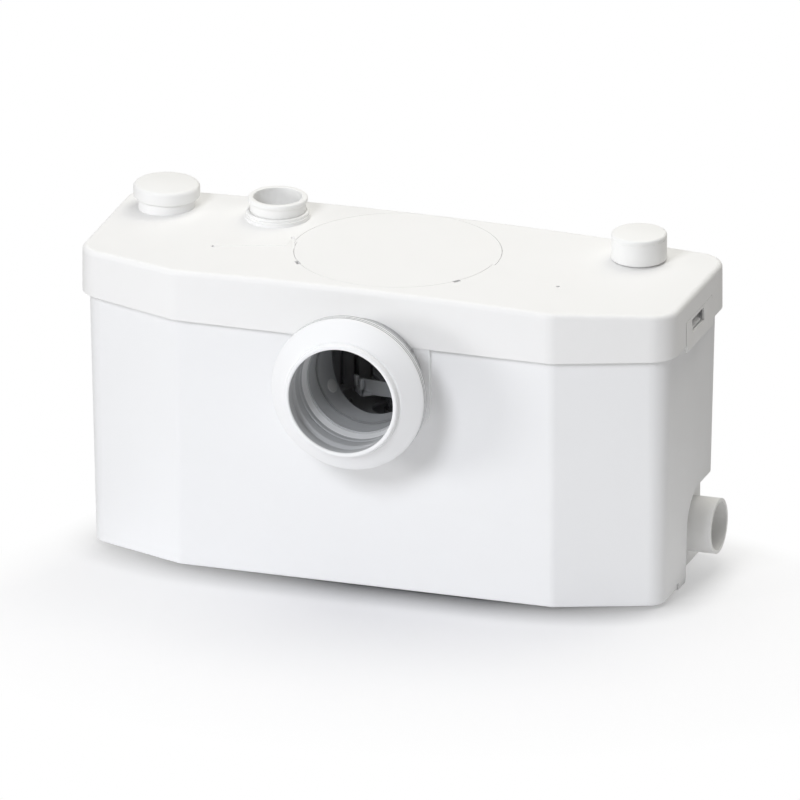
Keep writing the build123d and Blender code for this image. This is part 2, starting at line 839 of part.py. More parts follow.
# Caps and collar on the lid
with BuildPart() as vent_cap:
    vent_cap_bore = vent_neck_radius + rest_gap
    turned(
        [
            (0, vent_z + vent_cap_top),
            (vent_cap_radius, vent_z + vent_cap_top),
            (vent_cap_radius, vent_z + vent_cap_low),
            (vent_cap_bore, vent_z + vent_cap_low),
            (vent_cap_bore, vent_z + vent_cap_top - vent_cap_plate),
            (0, vent_z + vent_cap_top - vent_cap_plate),
        ],
        upright(vent_x, vent_y),
        Axis((vent_x, vent_y, 0), (0, 0, 1)),
    )
    fillet(vent_cap.edges().group_by(Axis.Z)[-1], vent_cap_top_rounding)
    low_rim = vent_cap.edges().group_by(Axis.Z)[0].sort_by(SortBy.RADIUS)[-1]
    fillet(low_rim, vent_cap_low_rounding)

with BuildPart() as carbon_filter:
    filter_z = vent_z - vent_neck_depth + vent_ledge_thickness
    with BuildSketch(Plane.XY.offset(filter_z)):
        with Locations((vent_x, vent_y)):
            Circle(vent_neck_bore_radius - fit_gap)
            with PolarLocations(filter_hole_circle_radius, filter_hole_count):
                Circle(filter_hole_radius, mode=Mode.SUBTRACT)
    extrude(amount=filter_height)

with BuildPart() as inlet_cap:
    cap_low_z = top_inlet_z + top_inlet_cap_lift
    cap_top_z = top_inlet_z + top_inlet_cap_height
    cap_bore = top_inlet_radius + rest_gap
    groove_z = cap_top_z - top_inlet_cap_groove_drop
    turned(
        [
            (0, cap_top_z),
            (top_inlet_cap_radius, cap_top_z),
            (top_inlet_cap_radius, groove_z),
            (top_inlet_cap_radius - top_inlet_cap_groove, groove_z - top_inlet_cap_groove / 2),
            (top_inlet_cap_radius, groove_z - top_inlet_cap_groove),
            (top_inlet_cap_radius, cap_low_z),
            (cap_bore, cap_low_z),
            (cap_bore, cap_top_z - top_inlet_cap_plate),
            (0, cap_top_z - top_inlet_cap_plate),
        ],
        upright(top_inlet_x, top_inlet_y),
        Axis((top_inlet_x, top_inlet_y, 0), (0, 0, 1)),
    )
    fillet(inlet_cap.edges().group_by(Axis.Z)[-1], top_inlet_cap_rounding)
    low_rim = inlet_cap.edges().group_by(Axis.Z)[0].sort_by(SortBy.RADIUS)[-1]
    fillet(low_rim, top_inlet_cap_foot_rounding)

collar_stop_z = discharge_pad_z - collar_stop_drop
collar_socket_z = collar_stop_z - collar_stop_thickness
with BuildPart() as discharge_collar:
    collar_top_z = discharge_pad_z + collar_height
    collar_lip_z = collar_top_z - collar_lip_height
    collar_low_z = collar_socket_z - collar_socket_length
    collar_flange_z = discharge_pad_z + collar_flange_height
    turned(
        [
            (collar_bore_radius, collar_top_z),
            (collar_lip_radius, collar_top_z),
            (collar_lip_radius, collar_lip_z),
            (collar_neck_radius, collar_lip_z - collar_lip_rounding),
            (collar_neck_radius, collar_flange_z),
            (collar_flange_radius, collar_flange_z),
            (collar_flange_radius, discharge_pad_z),
            (collar_shank_radius, discharge_pad_z),
            (collar_shank_radius, collar_low_z),
            (valve_neck_radius + rest_gap, collar_low_z),
            (valve_neck_radius + rest_gap, collar_socket_z),
            (collar_stop_radius, collar_socket_z),
            (collar_stop_radius, collar_stop_z),
            (collar_bore_radius, collar_stop_z),
        ],
        upright(discharge_x, discharge_y),
        Axis((discharge_x, discharge_y, 0), (0, 0, 1)),
    )
    fillet(discharge_collar.edges().group_by(Axis.Z)[-1], collar_lip_rounding)

with BuildPart() as collar_seal:
    with BuildSketch(Plane.XY.offset(collar_socket_z - collar_seal_thickness)):
        with Locations((discharge_x, discharge_y)):
            Circle(valve_neck_radius)
            Circle(collar_stop_radius, mode=Mode.SUBTRACT)
    extrude(amount=collar_seal_thickness)

# Soft pan connector and its clamp
with BuildPart() as wc_sleeve:
    lip_y = front_y - sleeve_reach
    cone_y = lip_y + sleeve_lip_length
    flange_y = front_y - sleeve_flange_reach
    flange_back_y = flange_y + sleeve_flange_width
    neck_back_y = front_y + inlet_block_setback
    spigot_y = front_y - spigot_reach
    chamber_front_y = lip_y + sleeve_lip_depth
    groove_pitch = sleeve_flange_width / (sleeve_edge_groove_count + 1)
    rib_pitch = (spigot_y - chamber_front_y) / (sleeve_rib_count + 1)
    outline = [
        (lip_y, sleeve_bore_radius),
        (lip_y, sleeve_lip_radius - sleeve_lip_rounding),
        (lip_y + sleeve_lip_rounding, sleeve_lip_radius),
        (cone_y, sleeve_lip_radius),
        (cone_y, sleeve_cone_radius),
        (flange_y, sleeve_flange_radius - sleeve_edge_groove),
        (flange_y + sleeve_edge_groove, sleeve_flange_radius),
    ]
    for number in range(sleeve_edge_groove_count):
        middle = flange_y + (number + 1) * groove_pitch
        outline += [
            (middle - sleeve_edge_groove, sleeve_flange_radius),
            (middle, sleeve_flange_radius - sleeve_edge_groove),
            (middle + sleeve_edge_groove, sleeve_flange_radius),
        ]
    outline += [
        (flange_back_y, sleeve_flange_radius),
        (flange_back_y + sleeve_neck_wall / 2, sleeve_neck_radius),
        (neck_back_y, sleeve_neck_radius),
        (neck_back_y, spigot_radius + fit_gap),
        (spigot_y, spigot_radius + fit_gap),
        (spigot_y, sleeve_chamber_radius),
    ]
    for number in reversed(range(sleeve_rib_count)):
        middle = chamber_front_y + (number + 1) * rib_pitch
        outline += [
            (middle + sleeve_rib_height, sleeve_chamber_radius),
            (middle, sleeve_chamber_radius - sleeve_rib_height),
            (middle - sleeve_rib_height, sleeve_chamber_radius),
        ]
    outline.append((chamber_front_y, sleeve_bore_radius))
    turned([(y, inlet_z + radius) for y, radius in outline], Plane.YZ, inlet_axis)

clamp_y = front_y - rest_gap
clamp_radius = sleeve_neck_radius + clamp_band_thickness
with BuildPart() as sleeve_clamp:
    with BuildSketch(Plane.XZ.offset(-clamp_y)):
        with Locations((0, inlet_z)):
            Circle(clamp_radius)
            Circle(sleeve_neck_radius + fit_gap, mode=Mode.SUBTRACT)
    extrude(amount=clamp_band_width)
    # Housing of the worm screw, below the band
    with BuildSketch(Plane.XZ.offset(-clamp_y)):
        with Locations((0, inlet_z - clamp_radius + clamp_band_thickness / 2)):
            Rectangle(
                clamp_housing_length, clamp_housing_height, align=(Align.CENTER, Align.MAX)
            )
        with Locations((0, inlet_z)):
            Circle(sleeve_neck_radius + fit_gap, mode=Mode.SUBTRACT)
    extrude(amount=clamp_band_width)
    screw_z = inlet_z - clamp_radius - clamp_housing_height / 2
    with BuildSketch(side_plane(-1, clamp_housing_length)):
        with Locations((clamp_y - clamp_band_width / 2, screw_z)):
            Circle(clamp_screw_radius + fit_gap)
    extrude(amount=2 * clamp_housing_length, mode=Mode.SUBTRACT)

with BuildPart() as clamp_screw:
    with BuildSketch(side_plane(-1, clamp_housing_length / 2)):
        with Locations((clamp_y - clamp_band_width / 2, screw_z)):
            Circle(clamp_screw_radius)
    extrude(amount=clamp_screw_length)
    with BuildSketch(side_plane(1, clamp_screw_length - clamp_housing_length / 2)):
        with Locations((clamp_y - clamp_band_width / 2, screw_z)):
            RegularPolygon(clamp_screw_radius + clamp_band_thickness, hexagon_sides)
    extrude(amount=clamp_screw_radius)

# Side spigots with their nuts, flaps and pins
neck_end_x = recess_wall_x - side_neck_length
flap_pin_x = neck_end_x - rest_gap - flap_knuckle_radius
flap_pin_z = side_inlet_z + flap_pin_height
lug_middle = flap_knuckle_width / 2 + rest_gap + flap_lug_width / 2
lug_reach = neck_end_x - flap_pin_x + flap_knuckle_radius
side_axis = Axis((0, side_inlet_y, side_inlet_z), (1, 0, 0))


def make_side_inlet(side):
    """Spigot in one recess, with the flap's seat and lugs at its inner end"""
    with BuildPart() as spigot:
        turned(
            [
                (side * side_mouth_x, side_inlet_z + side_inlet_bore_radius),
                (side * side_mouth_x, side_inlet_z + side_inlet_radius),
                (side * recess_wall_x, side_inlet_z + side_inlet_radius),
                (side * recess_wall_x, side_inlet_z + side_neck_radius),
                (side * neck_end_x, side_inlet_z + side_neck_radius),
                (side * neck_end_x, side_inlet_z + flap_seat_radius),
                (side * (neck_end_x + flap_seat_length), side_inlet_z + flap_seat_radius),
                (side * (neck_end_x + flap_seat_length), side_inlet_z + side_inlet_bore_radius),
            ],
            upright(0, side_inlet_y),
            side_axis,
        )
        for end in (-1, 1):
            with BuildSketch(side_plane(side, neck_end_x)):
                with Locations((side_inlet_y + end * lug_middle, flap_pin_z)):
                    Rectangle(flap_lug_width, flap_lug_height)
            extrude(amount=-side * lug_reach)
        with BuildSketch(upright(side * flap_pin_x, side_inlet_y)):
            with Locations((0, flap_pin_z)):
                Circle(flap_pin_radius + fit_gap)
        extrude(amount=side_neck_radius, both=True, mode=Mode.SUBTRACT)
    return spigot.part


def make_side_nut(side):
    """Ring nut that holds a spigot from inside the tank"""
    with BuildPart() as nut:
        with BuildSketch(side_plane(side, recess_wall_x - tank_wall)):
            with Locations((side_inlet_y, side_inlet_z)):
                RegularPolygon(side_nut_radius, side_nut_sides)
                Circle(side_neck_radius + fit_gap, mode=Mode.SUBTRACT)
        extrude(amount=-side * side_nut_thickness)
    return nut.part


def make_flap(side):
    """Rubber flap that hangs from its pin and covers the seat"""
    with BuildPart() as flap:
        with BuildSketch(side_plane(side, neck_end_x - rest_gap)):
            with Locations((side_inlet_y, side_inlet_z)):
                Circle(flap_radius)
            with Locations((side_inlet_y, flap_pin_z - flap_top_drop)):
                Rectangle(
                    2 * flap_radius,
                    flap_radius,
                    align=(Align.CENTER, Align.MIN),
                    mode=Mode.SUBTRACT,
                )
                Rectangle(flap_knuckle_width, flap_top_drop, align=(Align.CENTER, Align.MIN))
        extrude(amount=-side * flap_thickness)
        with BuildSketch(upright(side * flap_pin_x, side_inlet_y)):
            with Locations((0, flap_pin_z)):
                Circle(flap_knuckle_radius)
        extrude(amount=flap_knuckle_width / 2, both=True)
        with BuildSketch(upright(side * flap_pin_x, side_inlet_y)):
            with Locations((0, flap_pin_z)):
                Circle(flap_pin_radius + fit_gap)
        extrude(amount=flap_knuckle_width, both=True, mode=Mode.SUBTRACT)
    return flap.part


with BuildPart() as flap_pins:
    for side in (-1, 1):
        with BuildSketch(upright(side * flap_pin_x, side_inlet_y)):
            with Locations((0, flap_pin_z)):
                Circle(flap_pin_radius)
        extrude(amount=lug_middle + flap_lug_width / 2, both=True)

with BuildPart() as side_plug_left:
    plug_radius = side_inlet_bore_radius - rest_gap
    with BuildSketch(side_plane(-1, side_mouth_x - side_plug_depth)):
        with Locations((side_inlet_y, side_inlet_z)):
            Circle(plug_radius)
    extrude(amount=-side_plug_depth)
    with BuildSketch(side_plane(-1, side_mouth_x - side_plug_depth + side_plug_wall)):
        with Locations((side_inlet_y, side_inlet_z)):
            Circle(plug_radius - side_plug_wall)
            Rectangle(side_plug_grip_width, 2 * plug_radius, mode=Mode.SUBTRACT)
    extrude(amount=-side_plug_depth, mode=Mode.SUBTRACT)

# Pump
with BuildPart() as pump_mounts:
    with BuildSketch(Plane.XY.offset(cavity_z)):
        with Locations((0, unit_y)):
            with PolarLocations(
                pump_mount_circle_radius, pump_mount_count, start_angle=pump_mount_start_angle
            ):
                Circle(pump_mount_radius)
    extrude(amount=pump_mount_height)

with BuildPart() as pump_cover:
    with BuildSketch(Plane.XY.offset(pump_cover_z)):
        with Locations((0, unit_y)):
            Circle(casing_radius)
            Circle(suction_eye_radius, mode=Mode.SUBTRACT)
            with PolarLocations(
                pump_screw_circle_radius, pump_screw_count, start_angle=pump_screw_start_angle
            ):
                Circle(pump_screw_radius + fit_gap, mode=Mode.SUBTRACT)
    extrude(amount=pump_cover_thickness)

with BuildPart() as pump_volute:
    with BuildSketch(Plane.XY.offset(pump_casing_z)):
        with Locations((0, unit_y)):
            Circle(casing_radius)
    extrude(amount=2 * outlet_radius)
    outlet_plane = Plane(origin=(0, outlet_y, outlet_z), x_dir=(0, 1, 0), z_dir=(-1, 0, 0))
    outlet_length = casing_radius + outlet_spigot_length
    with BuildSketch(outlet_plane):
        Circle(outlet_radius)
    extrude(amount=outlet_length)
    # Spiral chamber, which widens towards the outlet
    with BuildSketch(Plane.XY.offset(pump_casing_z)):
        with BuildLine():
            spiral_points = []
            for number in range(volute_steps + 1):
                share = number / volute_steps
                radius = volute_start_radius + share * (volute_end_radius - volute_start_radius)
                angle = pi / 2 + 2 * pi * share
                spiral_points.append((radius * cos(angle), unit_y + radius * sin(angle)))
            spiral = Spline(*spiral_points)
            Line(spiral @ 1, spiral @ 0)
        make_face()
    extrude(amount=pump_chamber_height, mode=Mode.SUBTRACT)
    with BuildSketch(outlet_plane):
        Circle(outlet_bore_radius)
    extrude(amount=outlet_length, mode=Mode.SUBTRACT)
    # Shaft hole in the top, and threaded holes for the cover's screws
    with BuildSketch(Plane.XY.offset(pump_casing_z)):
        with Locations((0, unit_y)):
            Circle(seal_radius + fit_gap)
    extrude(amount=2 * outlet_radius, mode=Mode.SUBTRACT)
    with BuildSketch(Plane.XY.offset(pump_casing_z)):
        with Locations((0, unit_y)):
            with PolarLocations(
                pump_screw_circle_radius, pump_screw_count, start_angle=pump_screw_start_angle
            ):
                Circle(pump_screw_radius + fit_gap)
    extrude(amount=pump_screw_length, mode=Mode.SUBTRACT)

with BuildPart() as pump_screws:
    with BuildSketch(Plane.XY.offset(pump_cover_z)):
        with Locations((0, unit_y)):
            with PolarLocations(
                pump_screw_circle_radius, pump_screw_count, start_angle=pump_screw_start_angle
            ):
                Circle(pump_screw_radius)
    extrude(amount=pump_screw_length)
    with BuildSketch(Plane.XY.offset(pump_cover_z)):
        with Locations((0, unit_y)):
            with PolarLocations(
                pump_screw_circle_radius, pump_screw_count, start_angle=pump_screw_start_angle
            ):
                Circle(pump_screw_head_radius)
    extrude(amount=-pump_screw_head_height)

impeller_disc_top = pump_casing_z + pump_chamber_height - impeller_top_gap
impeller_low = impeller_disc_top - impeller_disc_thickness - impeller_vane_height
with BuildPart() as impeller:
    with BuildSketch(Plane.XY.offset(impeller_disc_top)):
        with Locations((0, unit_y)):
            Circle(impeller_radius)
    extrude(amount=-impeller_disc_thickness)
    with BuildSketch(Plane.XY.offset(impeller_low)):
        with Locations((0, unit_y)):
            Circle(impeller_hub_radius)
            with PolarLocations(impeller_radius / 2, impeller_vane_count):
                Rectangle(impeller_radius, impeller_vane_thickness, rotation=impeller_vane_sweep)
            Circle(impeller_radius, mode=Mode.INTERSECT)
    extrude(amount=impeller_vane_height)
    with BuildSketch(Plane.XY.offset(impeller_low)):
        with Locations((0, unit_y)):
            Circle(shaft_radius + fit_gap)
    extrude(amount=impeller_disc_top - impeller_low, mode=Mode.SUBTRACT)

with BuildPart() as impeller_screw:
    with BuildSketch(Plane.XY.offset(impeller_low)):
        with Locations((0, unit_y)):
            RegularPolygon(impeller_screw_head_radius, hexagon_sides)
    extrude(amount=-impeller_screw_head_height)

# Motor
with BuildPart() as motor_can:
    lower_boss_top = can_z + can_bottom + bearing_boss_lift + bearing_width
    turned(
        [
            (seal_radius + fit_gap, can_z),
            (can_radius, can_z),
            (can_radius, can_top_z),
            (can_radius - can_wall, can_top_z),
            (can_radius - can_wall, can_z + can_bottom),
            (bearing_radius + bearing_boss_wall, can_z + can_bottom),
            (bearing_radius + bearing_boss_wall, lower_boss_top),
            (bearing_radius + fit_gap, lower_boss_top),
            (bearing_radius + fit_gap, lower_boss_top - bearing_width),
            (seal_radius + fit_gap, lower_boss_top - bearing_width),
        ],
        upright(0, unit_y),
        motor_axis,
    )

with BuildPart() as motor_top_plate:
    spigot_low = can_top_z - top_plate_spigot
    upper_boss_low = can_top_z - bearing_boss_lift - bearing_width
    turned(
        [
            (seal_radius + fit_gap, can_top_z + top_plate_thickness),
            (can_radius, can_top_z + top_plate_thickness),
            (can_radius, can_top_z),
            (can_radius - can_wall - fit_gap, can_top_z),
            (can_radius - can_wall - fit_gap, spigot_low),
            (bearing_radius + bearing_boss_wall, spigot_low),
            (bearing_radius + bearing_boss_wall, upper_boss_low),
            (bearing_radius + fit_gap, upper_boss_low),
            (bearing_radius + fit_gap, upper_boss_low + bearing_width),
            (seal_radius + fit_gap, upper_boss_low + bearing_width),
        ],
        upright(0, unit_y),
        motor_axis,
    )
    with BuildSketch(Plane.XY.offset(can_top_z)):
        with Locations((0, unit_y)):
            with PolarLocations(basket_screw_circle_radius, basket_screw_count):
                Circle(basket_screw_radius + fit_gap)
    extrude(amount=top_plate_thickness, mode=Mode.SUBTRACT)


def ring(low, height, inner, outer):
    """Flat ring round the motor's axis"""
    with BuildPart() as piece:
        with BuildSketch(Plane.XY.offset(low)):
            with Locations((0, unit_y)):
                Circle(outer)
                Circle(inner, mode=Mode.SUBTRACT)
        extrude(amount=height)
    return piece.part


stator_z = can_z + stator_lift
shaft_running_radius = shaft_radius + fit_gap
bearing_lower = ring(lower_boss_top - bearing_width, bearing_width, shaft_running_radius, bearing_radius)
bearing_upper = ring(upper_boss_low, bearing_width, shaft_running_radius, bearing_radius)
seal_low_z = can_z - pump_wall
seal_lower = ring(seal_low_z, pump_wall + lower_seal_rise, shaft_running_radius, seal_radius)
seal_top_z = basket_z + seal_above_plate
seal_upper = ring(
    seal_top_z - bearing_boss_lift - top_plate_thickness,
    bearing_boss_lift + top_plate_thickness,
    shaft_running_radius,
    seal_radius,
)
stator = ring(
    stator_z, stator_length, stator_bore_radius, can_radius - can_wall - fit_gap
)
rotor_core = ring(
    stator_z, stator_length, shaft_running_radius, stator_bore_radius - air_gap
)

with BuildPart() as stator_windings:
    with BuildSketch(
        Plane.XY.offset(stator_z - winding_height), Plane.XY.offset(stator_z + stator_length)
    ):
        with Locations((0, unit_y)):
            Circle(winding_outer_radius)
            Circle(winding_inner_radius, mode=Mode.SUBTRACT)
    extrude(amount=winding_height)

nut_top_z = blade_z + blade_thickness + blade_nut_height
with BuildPart() as shaft:
    turned(
        [
            (0, impeller_low),
            (shaft_radius, impeller_low),
            (shaft_radius, seal_top_z + rest_gap),
            (blade_spacer_radius, seal_top_z + rest_gap),
            (blade_spacer_radius, blade_z),
            (shaft_thread_radius, blade_z),
            (shaft_thread_radius, nut_top_z + shaft_thread_above_nut),
            (0, nut_top_z + shaft_thread_above_nut),
        ],
        upright(0, unit_y),
        motor_axis,
    )

# Grinder basket and cutter
with BuildPart() as grinder_basket:
    turned(
        [
            (basket_floor_hole_radius, basket_z),
            (basket_bore_radius + basket_wall, basket_z),
            (basket_bore_radius + basket_wall, basket_top_z),
            (basket_bore_radius, basket_top_z),
            (basket_bore_radius, basket_z + basket_floor),
            (basket_floor_hole_radius, basket_z + basket_floor),
        ],
        upright(0, unit_y),
        motor_axis,
    )
    with BuildSketch(Plane.XZ.offset(-unit_y)):
        with Locations((0, inlet_z)):
            Circle(inlet_tube_radius + fit_gap)
    extrude(amount=basket_bore_radius + basket_wall + cut_overrun, mode=Mode.SUBTRACT)
    # Upright slots round the sides and the rear
    slot_middle = basket_z + basket_slot_low + basket_slot_height / 2
    for number in range(basket_slot_count):
        share = number / (basket_slot_count - 1) - 1 / 2
        angle = basket_slot_middle_angle + basket_slot_open_angle * share
        slot_plane = Plane(
            origin=(0, unit_y, slot_middle),
            x_dir=(-sin(radians(angle)), cos(radians(angle)), 0),
            z_dir=(cos(radians(angle)), sin(radians(angle)), 0),
        )
        with BuildSketch(slot_plane.offset(basket_bore_radius - cut_overrun)):
            Rectangle(basket_slot_width, basket_slot_height)
        extrude(amount=basket_wall + 2 * cut_overrun, mode=Mode.SUBTRACT)
    with BuildSketch(Plane.XY.offset(basket_z)):
        with Locations((0, unit_y)):
            with PolarLocations(basket_screw_circle_radius, basket_screw_count):
                Circle(basket_screw_radius + fit_gap)
    extrude(amount=basket_floor, mode=Mode.SUBTRACT)

# Tube from the pan connector to the basket, cut to the basket's inner wall
with BuildPart() as inlet_tube:
    tube_end_y = unit_y - basket_bore_radius / 2
    with BuildSketch(Plane.XZ.offset(-tube_end_y)):
        with Locations((0, inlet_z)):
            Circle(inlet_tube_radius)
            Circle(inlet_tube_bore_radius, mode=Mode.SUBTRACT)
    extrude(amount=tube_end_y - inlet_tube_y)
    with BuildSketch(Plane.XY.offset(basket_z)):
        with Locations((0, unit_y)):
            Circle(basket_bore_radius)
    extrude(amount=basket_top_z - basket_z, mode=Mode.SUBTRACT)

with BuildPart() as basket_screws:
    with BuildSketch(Plane.XY.offset(can_top_z)):
        with Locations((0, unit_y)):
            with PolarLocations(basket_screw_circle_radius, basket_screw_count):
                Circle(basket_screw_radius)
    extrude(amount=top_plate_thickness + basket_floor)
    with BuildSketch(Plane.XY.offset(basket_z + basket_floor)):
        with Locations((0, unit_y)):
            with PolarLocations(basket_screw_circle_radius, basket_screw_count):
                Circle(basket_screw_head_radius)
    extrude(amount=basket_screw_head_height)

with BuildPart() as cutter_blade:
    with BuildSketch(Plane.XY.offset(blade_z)):
        with Locations(Location((0, unit_y, 0), (0, 0, blade_rest_angle))):
            Circle(blade_hub_radius)
            with PolarLocations(0, blade_arm_count):
                with Locations((blade_reach / 2, 0)):
                    Rectangle(blade_reach, blade_arm_width)
            Circle(shaft_thread_radius + fit_gap, mode=Mode.SUBTRACT)
    extrude(amount=blade_thickness)
    # Teeth bent up from one half of each arm's tip
    with BuildSketch(Plane.XY.offset(blade_z)):
        with Locations(Location((0, unit_y, 0), (0, 0, blade_rest_angle))):
            with PolarLocations(0, blade_arm_count):
                with Locations(
                    (blade_reach - blade_thickness / 2, (blade_arm_width - blade_tooth_width) / 2)
                ):
                    Rectangle(blade_thickness, blade_tooth_width)
    extrude(amount=blade_thickness + blade_tooth_height)

with BuildPart() as blade_nut:
    with BuildSketch(Plane.XY.offset(blade_z + blade_thickness)):
        with Locations((0, unit_y)):
            RegularPolygon(blade_nut_across_flats / 2, hexagon_sides, major_radius=False)
            Circle(shaft_thread_radius + fit_gap, mode=Mode.SUBTRACT)
    extrude(amount=blade_nut_height)

# Discharge riser and check valve
riser_start_x = -(casing_radius + outlet_spigot_length - riser_spigot_overlap)
riser_path_points = [
    (riser_start_x, outlet_y, outlet_z),
    (discharge_x, outlet_y, outlet_z),
    (discharge_x, outlet_y, riser_top),
]
riser_start = Plane(origin=riser_path_points[0], x_dir=(0, 1, 0), z_dir=(-1, 0, 0))
with BuildPart() as discharge_riser:
    with BuildLine() as riser_path:
        FilletPolyline(*riser_path_points, radius=riser_bend_radius)
    with BuildSketch(riser_start):
        Circle(riser_radius)
        Circle(riser_bore_radius, mode=Mode.SUBTRACT)
    sweep(path=riser_path.line)

valve_socket_z = riser_top - valve_socket_depth
valve_seat_top = riser_top + valve_seat_thickness
valve_neck_top = collar_socket_z - collar_seal_thickness - rest_gap
valve_pin_z = valve_seat_top + rest_gap + valve_knuckle_radius
with BuildPart() as check_valve_body:
    turned(
        [
            (riser_radius + fit_gap, valve_socket_z),
            (valve_socket_radius, valve_socket_z),
            (valve_socket_radius, riser_top - valve_shoulder),
            (valve_neck_radius, riser_top),
            (valve_neck_radius, valve_neck_top),
            (valve_chamber_radius, valve_neck_top),
            (valve_chamber_radius, valve_seat_top),
            (valve_seat_radius, valve_seat_top),
            (valve_seat_radius, riser_top),
            (riser_radius + fit_gap, riser_top),
        ],
        upright(discharge_x, discharge_y),
        Axis((discharge_x, discharge_y, 0), (0, 0, 1)),
    )
    # Lugs of the flap's hinge
    valve_lug_middle = valve_knuckle_width / 2 + valve_lug_gap + valve_lug_width / 2
    with BuildSketch(Plane.XY.offset(valve_seat_top)):
        for end in (-1, 1):
            with Locations((discharge_x - valve_pin_offset, discharge_y + end * valve_lug_middle)):
                Rectangle(2 * valve_knuckle_radius, valve_lug_width)
    extrude(amount=rest_gap + 2 * valve_knuckle_radius)
    with BuildSketch(upright(discharge_x - valve_pin_offset, discharge_y)):
        with Locations((0, valve_pin_z)):
            Circle(valve_pin_radius + fit_gap)
    extrude(amount=valve_lug_middle + valve_lug_width, both=True, mode=Mode.SUBTRACT)

with BuildPart() as check_valve_flap:
    flap_low = valve_seat_top + rest_gap
    with BuildSketch(Plane.XY.offset(flap_low)):
        with Locations((discharge_x, discharge_y)):
            Circle(valve_flap_radius)
            with Locations((valve_flap_top_cut - valve_pin_offset, 0)):
                Rectangle(
                    valve_pin_offset,
                    2 * valve_flap_radius,
                    align=(Align.MAX, Align.CENTER),
                    mode=Mode.SUBTRACT,
                )
                Rectangle(valve_flap_top_cut, valve_knuckle_width, align=(Align.MAX, Align.CENTER))
    extrude(amount=valve_flap_thickness)
    with BuildSketch(upright(discharge_x - valve_pin_offset, discharge_y)):
        with Locations((0, valve_pin_z)):
            Circle(valve_knuckle_radius)
    extrude(amount=valve_knuckle_width / 2, both=True)
    with BuildSketch(upright(discharge_x - valve_pin_offset, discharge_y)):
        with Locations((0, valve_pin_z)):
            Circle(valve_pin_radius + fit_gap)
    extrude(amount=valve_knuckle_width, both=True, mode=Mode.SUBTRACT)

with BuildPart() as check_valve_pin:
    with BuildSketch(upright(discharge_x - valve_pin_offset, discharge_y)):
        with Locations((0, valve_pin_z)):
            Circle(valve_pin_radius)
    extrude(amount=valve_lug_middle + valve_lug_width / 2, both=True)

# Pressure chamber, diaphragm and switch box
chamber_axis = Axis((chamber_x, chamber_y, 0), (0, 0, 1))
with BuildPart() as pressure_chamber:
    flange_low = chamber_top - chamber_flange_height
    chamber_bore = chamber_radius - chamber_wall
    pocket_radius = chamber_flange_radius - diaphragm_rim
    pocket_low = chamber_top - chamber_flange_height / 2
    turned(
        [
            (chamber_bore, cavity_z),
            (chamber_radius, cavity_z),
            (chamber_radius, flange_low),
            (chamber_flange_radius, flange_low),
            (chamber_flange_radius, chamber_top),
            (pocket_radius, chamber_top),
            (pocket_radius, pocket_low),
            (chamber_bore, pocket_low),
        ],
        upright(chamber_x, chamber_y),
        chamber_axis,
    )
    # Arches that let the water in at the foot
    with BuildSketch(upright(chamber_x, chamber_y)):
        with Locations((0, cavity_z)):
            Rectangle(chamber_arch_width, 2 * chamber_arch_height)
    extrude(amount=chamber_flange_radius, both=True, mode=Mode.SUBTRACT)
    with BuildSketch(Plane.YZ.offset(chamber_x)):
        with Locations((chamber_y, cavity_z)):
            Rectangle(chamber_arch_width, 2 * chamber_arch_height)
    extrude(amount=chamber_flange_radius, both=True, mode=Mode.SUBTRACT)

with BuildPart() as diaphragm:
    with BuildSketch(Plane.XY.offset(chamber_top)):
        with Locations((chamber_x, chamber_y)):
            Circle(chamber_flange_radius)
    extrude(amount=diaphragm_thickness)

box_middle_x = switch_box_left + switch_box_length / 2
box_middle_y = switch_box_y + switch_box_depth / 2
box_top_z = switch_box_z + switch_box_height
box_floor_z = switch_box_z + plunger_foot_height + plunger_travel + switch_box_wall
box_screw_places = [
    (
        box_middle_x + i * (switch_box_length / 2 - switch_box_screw_inset),
        box_middle_y + j * (switch_box_depth / 2 - switch_box_screw_inset),
    )
    for i in (-1, 1)
    for j in (-1, 1)
]
with BuildPart() as switch_box:
    with BuildSketch(Plane.XY.offset(switch_box_z)):
        with Locations((box_middle_x, box_middle_y)):
            Rectangle(switch_box_length, switch_box_depth)
    extrude(amount=switch_box_height)
    fillet(switch_box.edges().filter_by(Axis.Z), 2 * switch_box_wall)
    with BuildSketch(Plane.XY.offset(box_floor_z)):
        with Locations((box_middle_x, box_middle_y)):
            Rectangle(
                switch_box_length - 2 * switch_box_wall, switch_box_depth - 2 * switch_box_wall
            )
        with Locations(*box_screw_places):
            Circle(switch_box_post_radius, mode=Mode.SUBTRACT)
    extrude(amount=switch_box_height, mode=Mode.SUBTRACT)
    # Pocket for the plunger's foot, its guide hole and the screw holes
    with BuildSketch(Plane.XY.offset(switch_box_z)):
        with Locations((chamber_x, chamber_y)):
            Circle(pocket_radius)
    extrude(amount=plunger_foot_height + plunger_travel, mode=Mode.SUBTRACT)
    with BuildSketch(Plane.XY.offset(switch_box_z)):
        with Locations((chamber_x, chamber_y)):
            Circle(plunger_radius + fit_gap)
    extrude(amount=switch_box_height, mode=Mode.SUBTRACT)
    with BuildSketch(Plane.XY.offset(box_top_z - switch_box_screw_length)):
        with Locations(*box_screw_places):
            Circle(switch_box_screw_radius + fit_gap)
    extrude(amount=switch_box_screw_length, mode=Mode.SUBTRACT)

with BuildPart() as switch_plunger:
    plunger_low = switch_box_z + rest_gap
    turned(
        [
            (0, plunger_low),
            (plunger_foot_radius, plunger_low),
            (plunger_foot_radius, plunger_low + plunger_foot_height - rest_gap),
            (plunger_radius, plunger_low + plunger_foot_height - rest_gap),
            (plunger_radius, plunger_low + plunger_length),
            (0, plunger_low + plunger_length),
        ],
        upright(chamber_x, chamber_y),
        chamber_axis,
    )

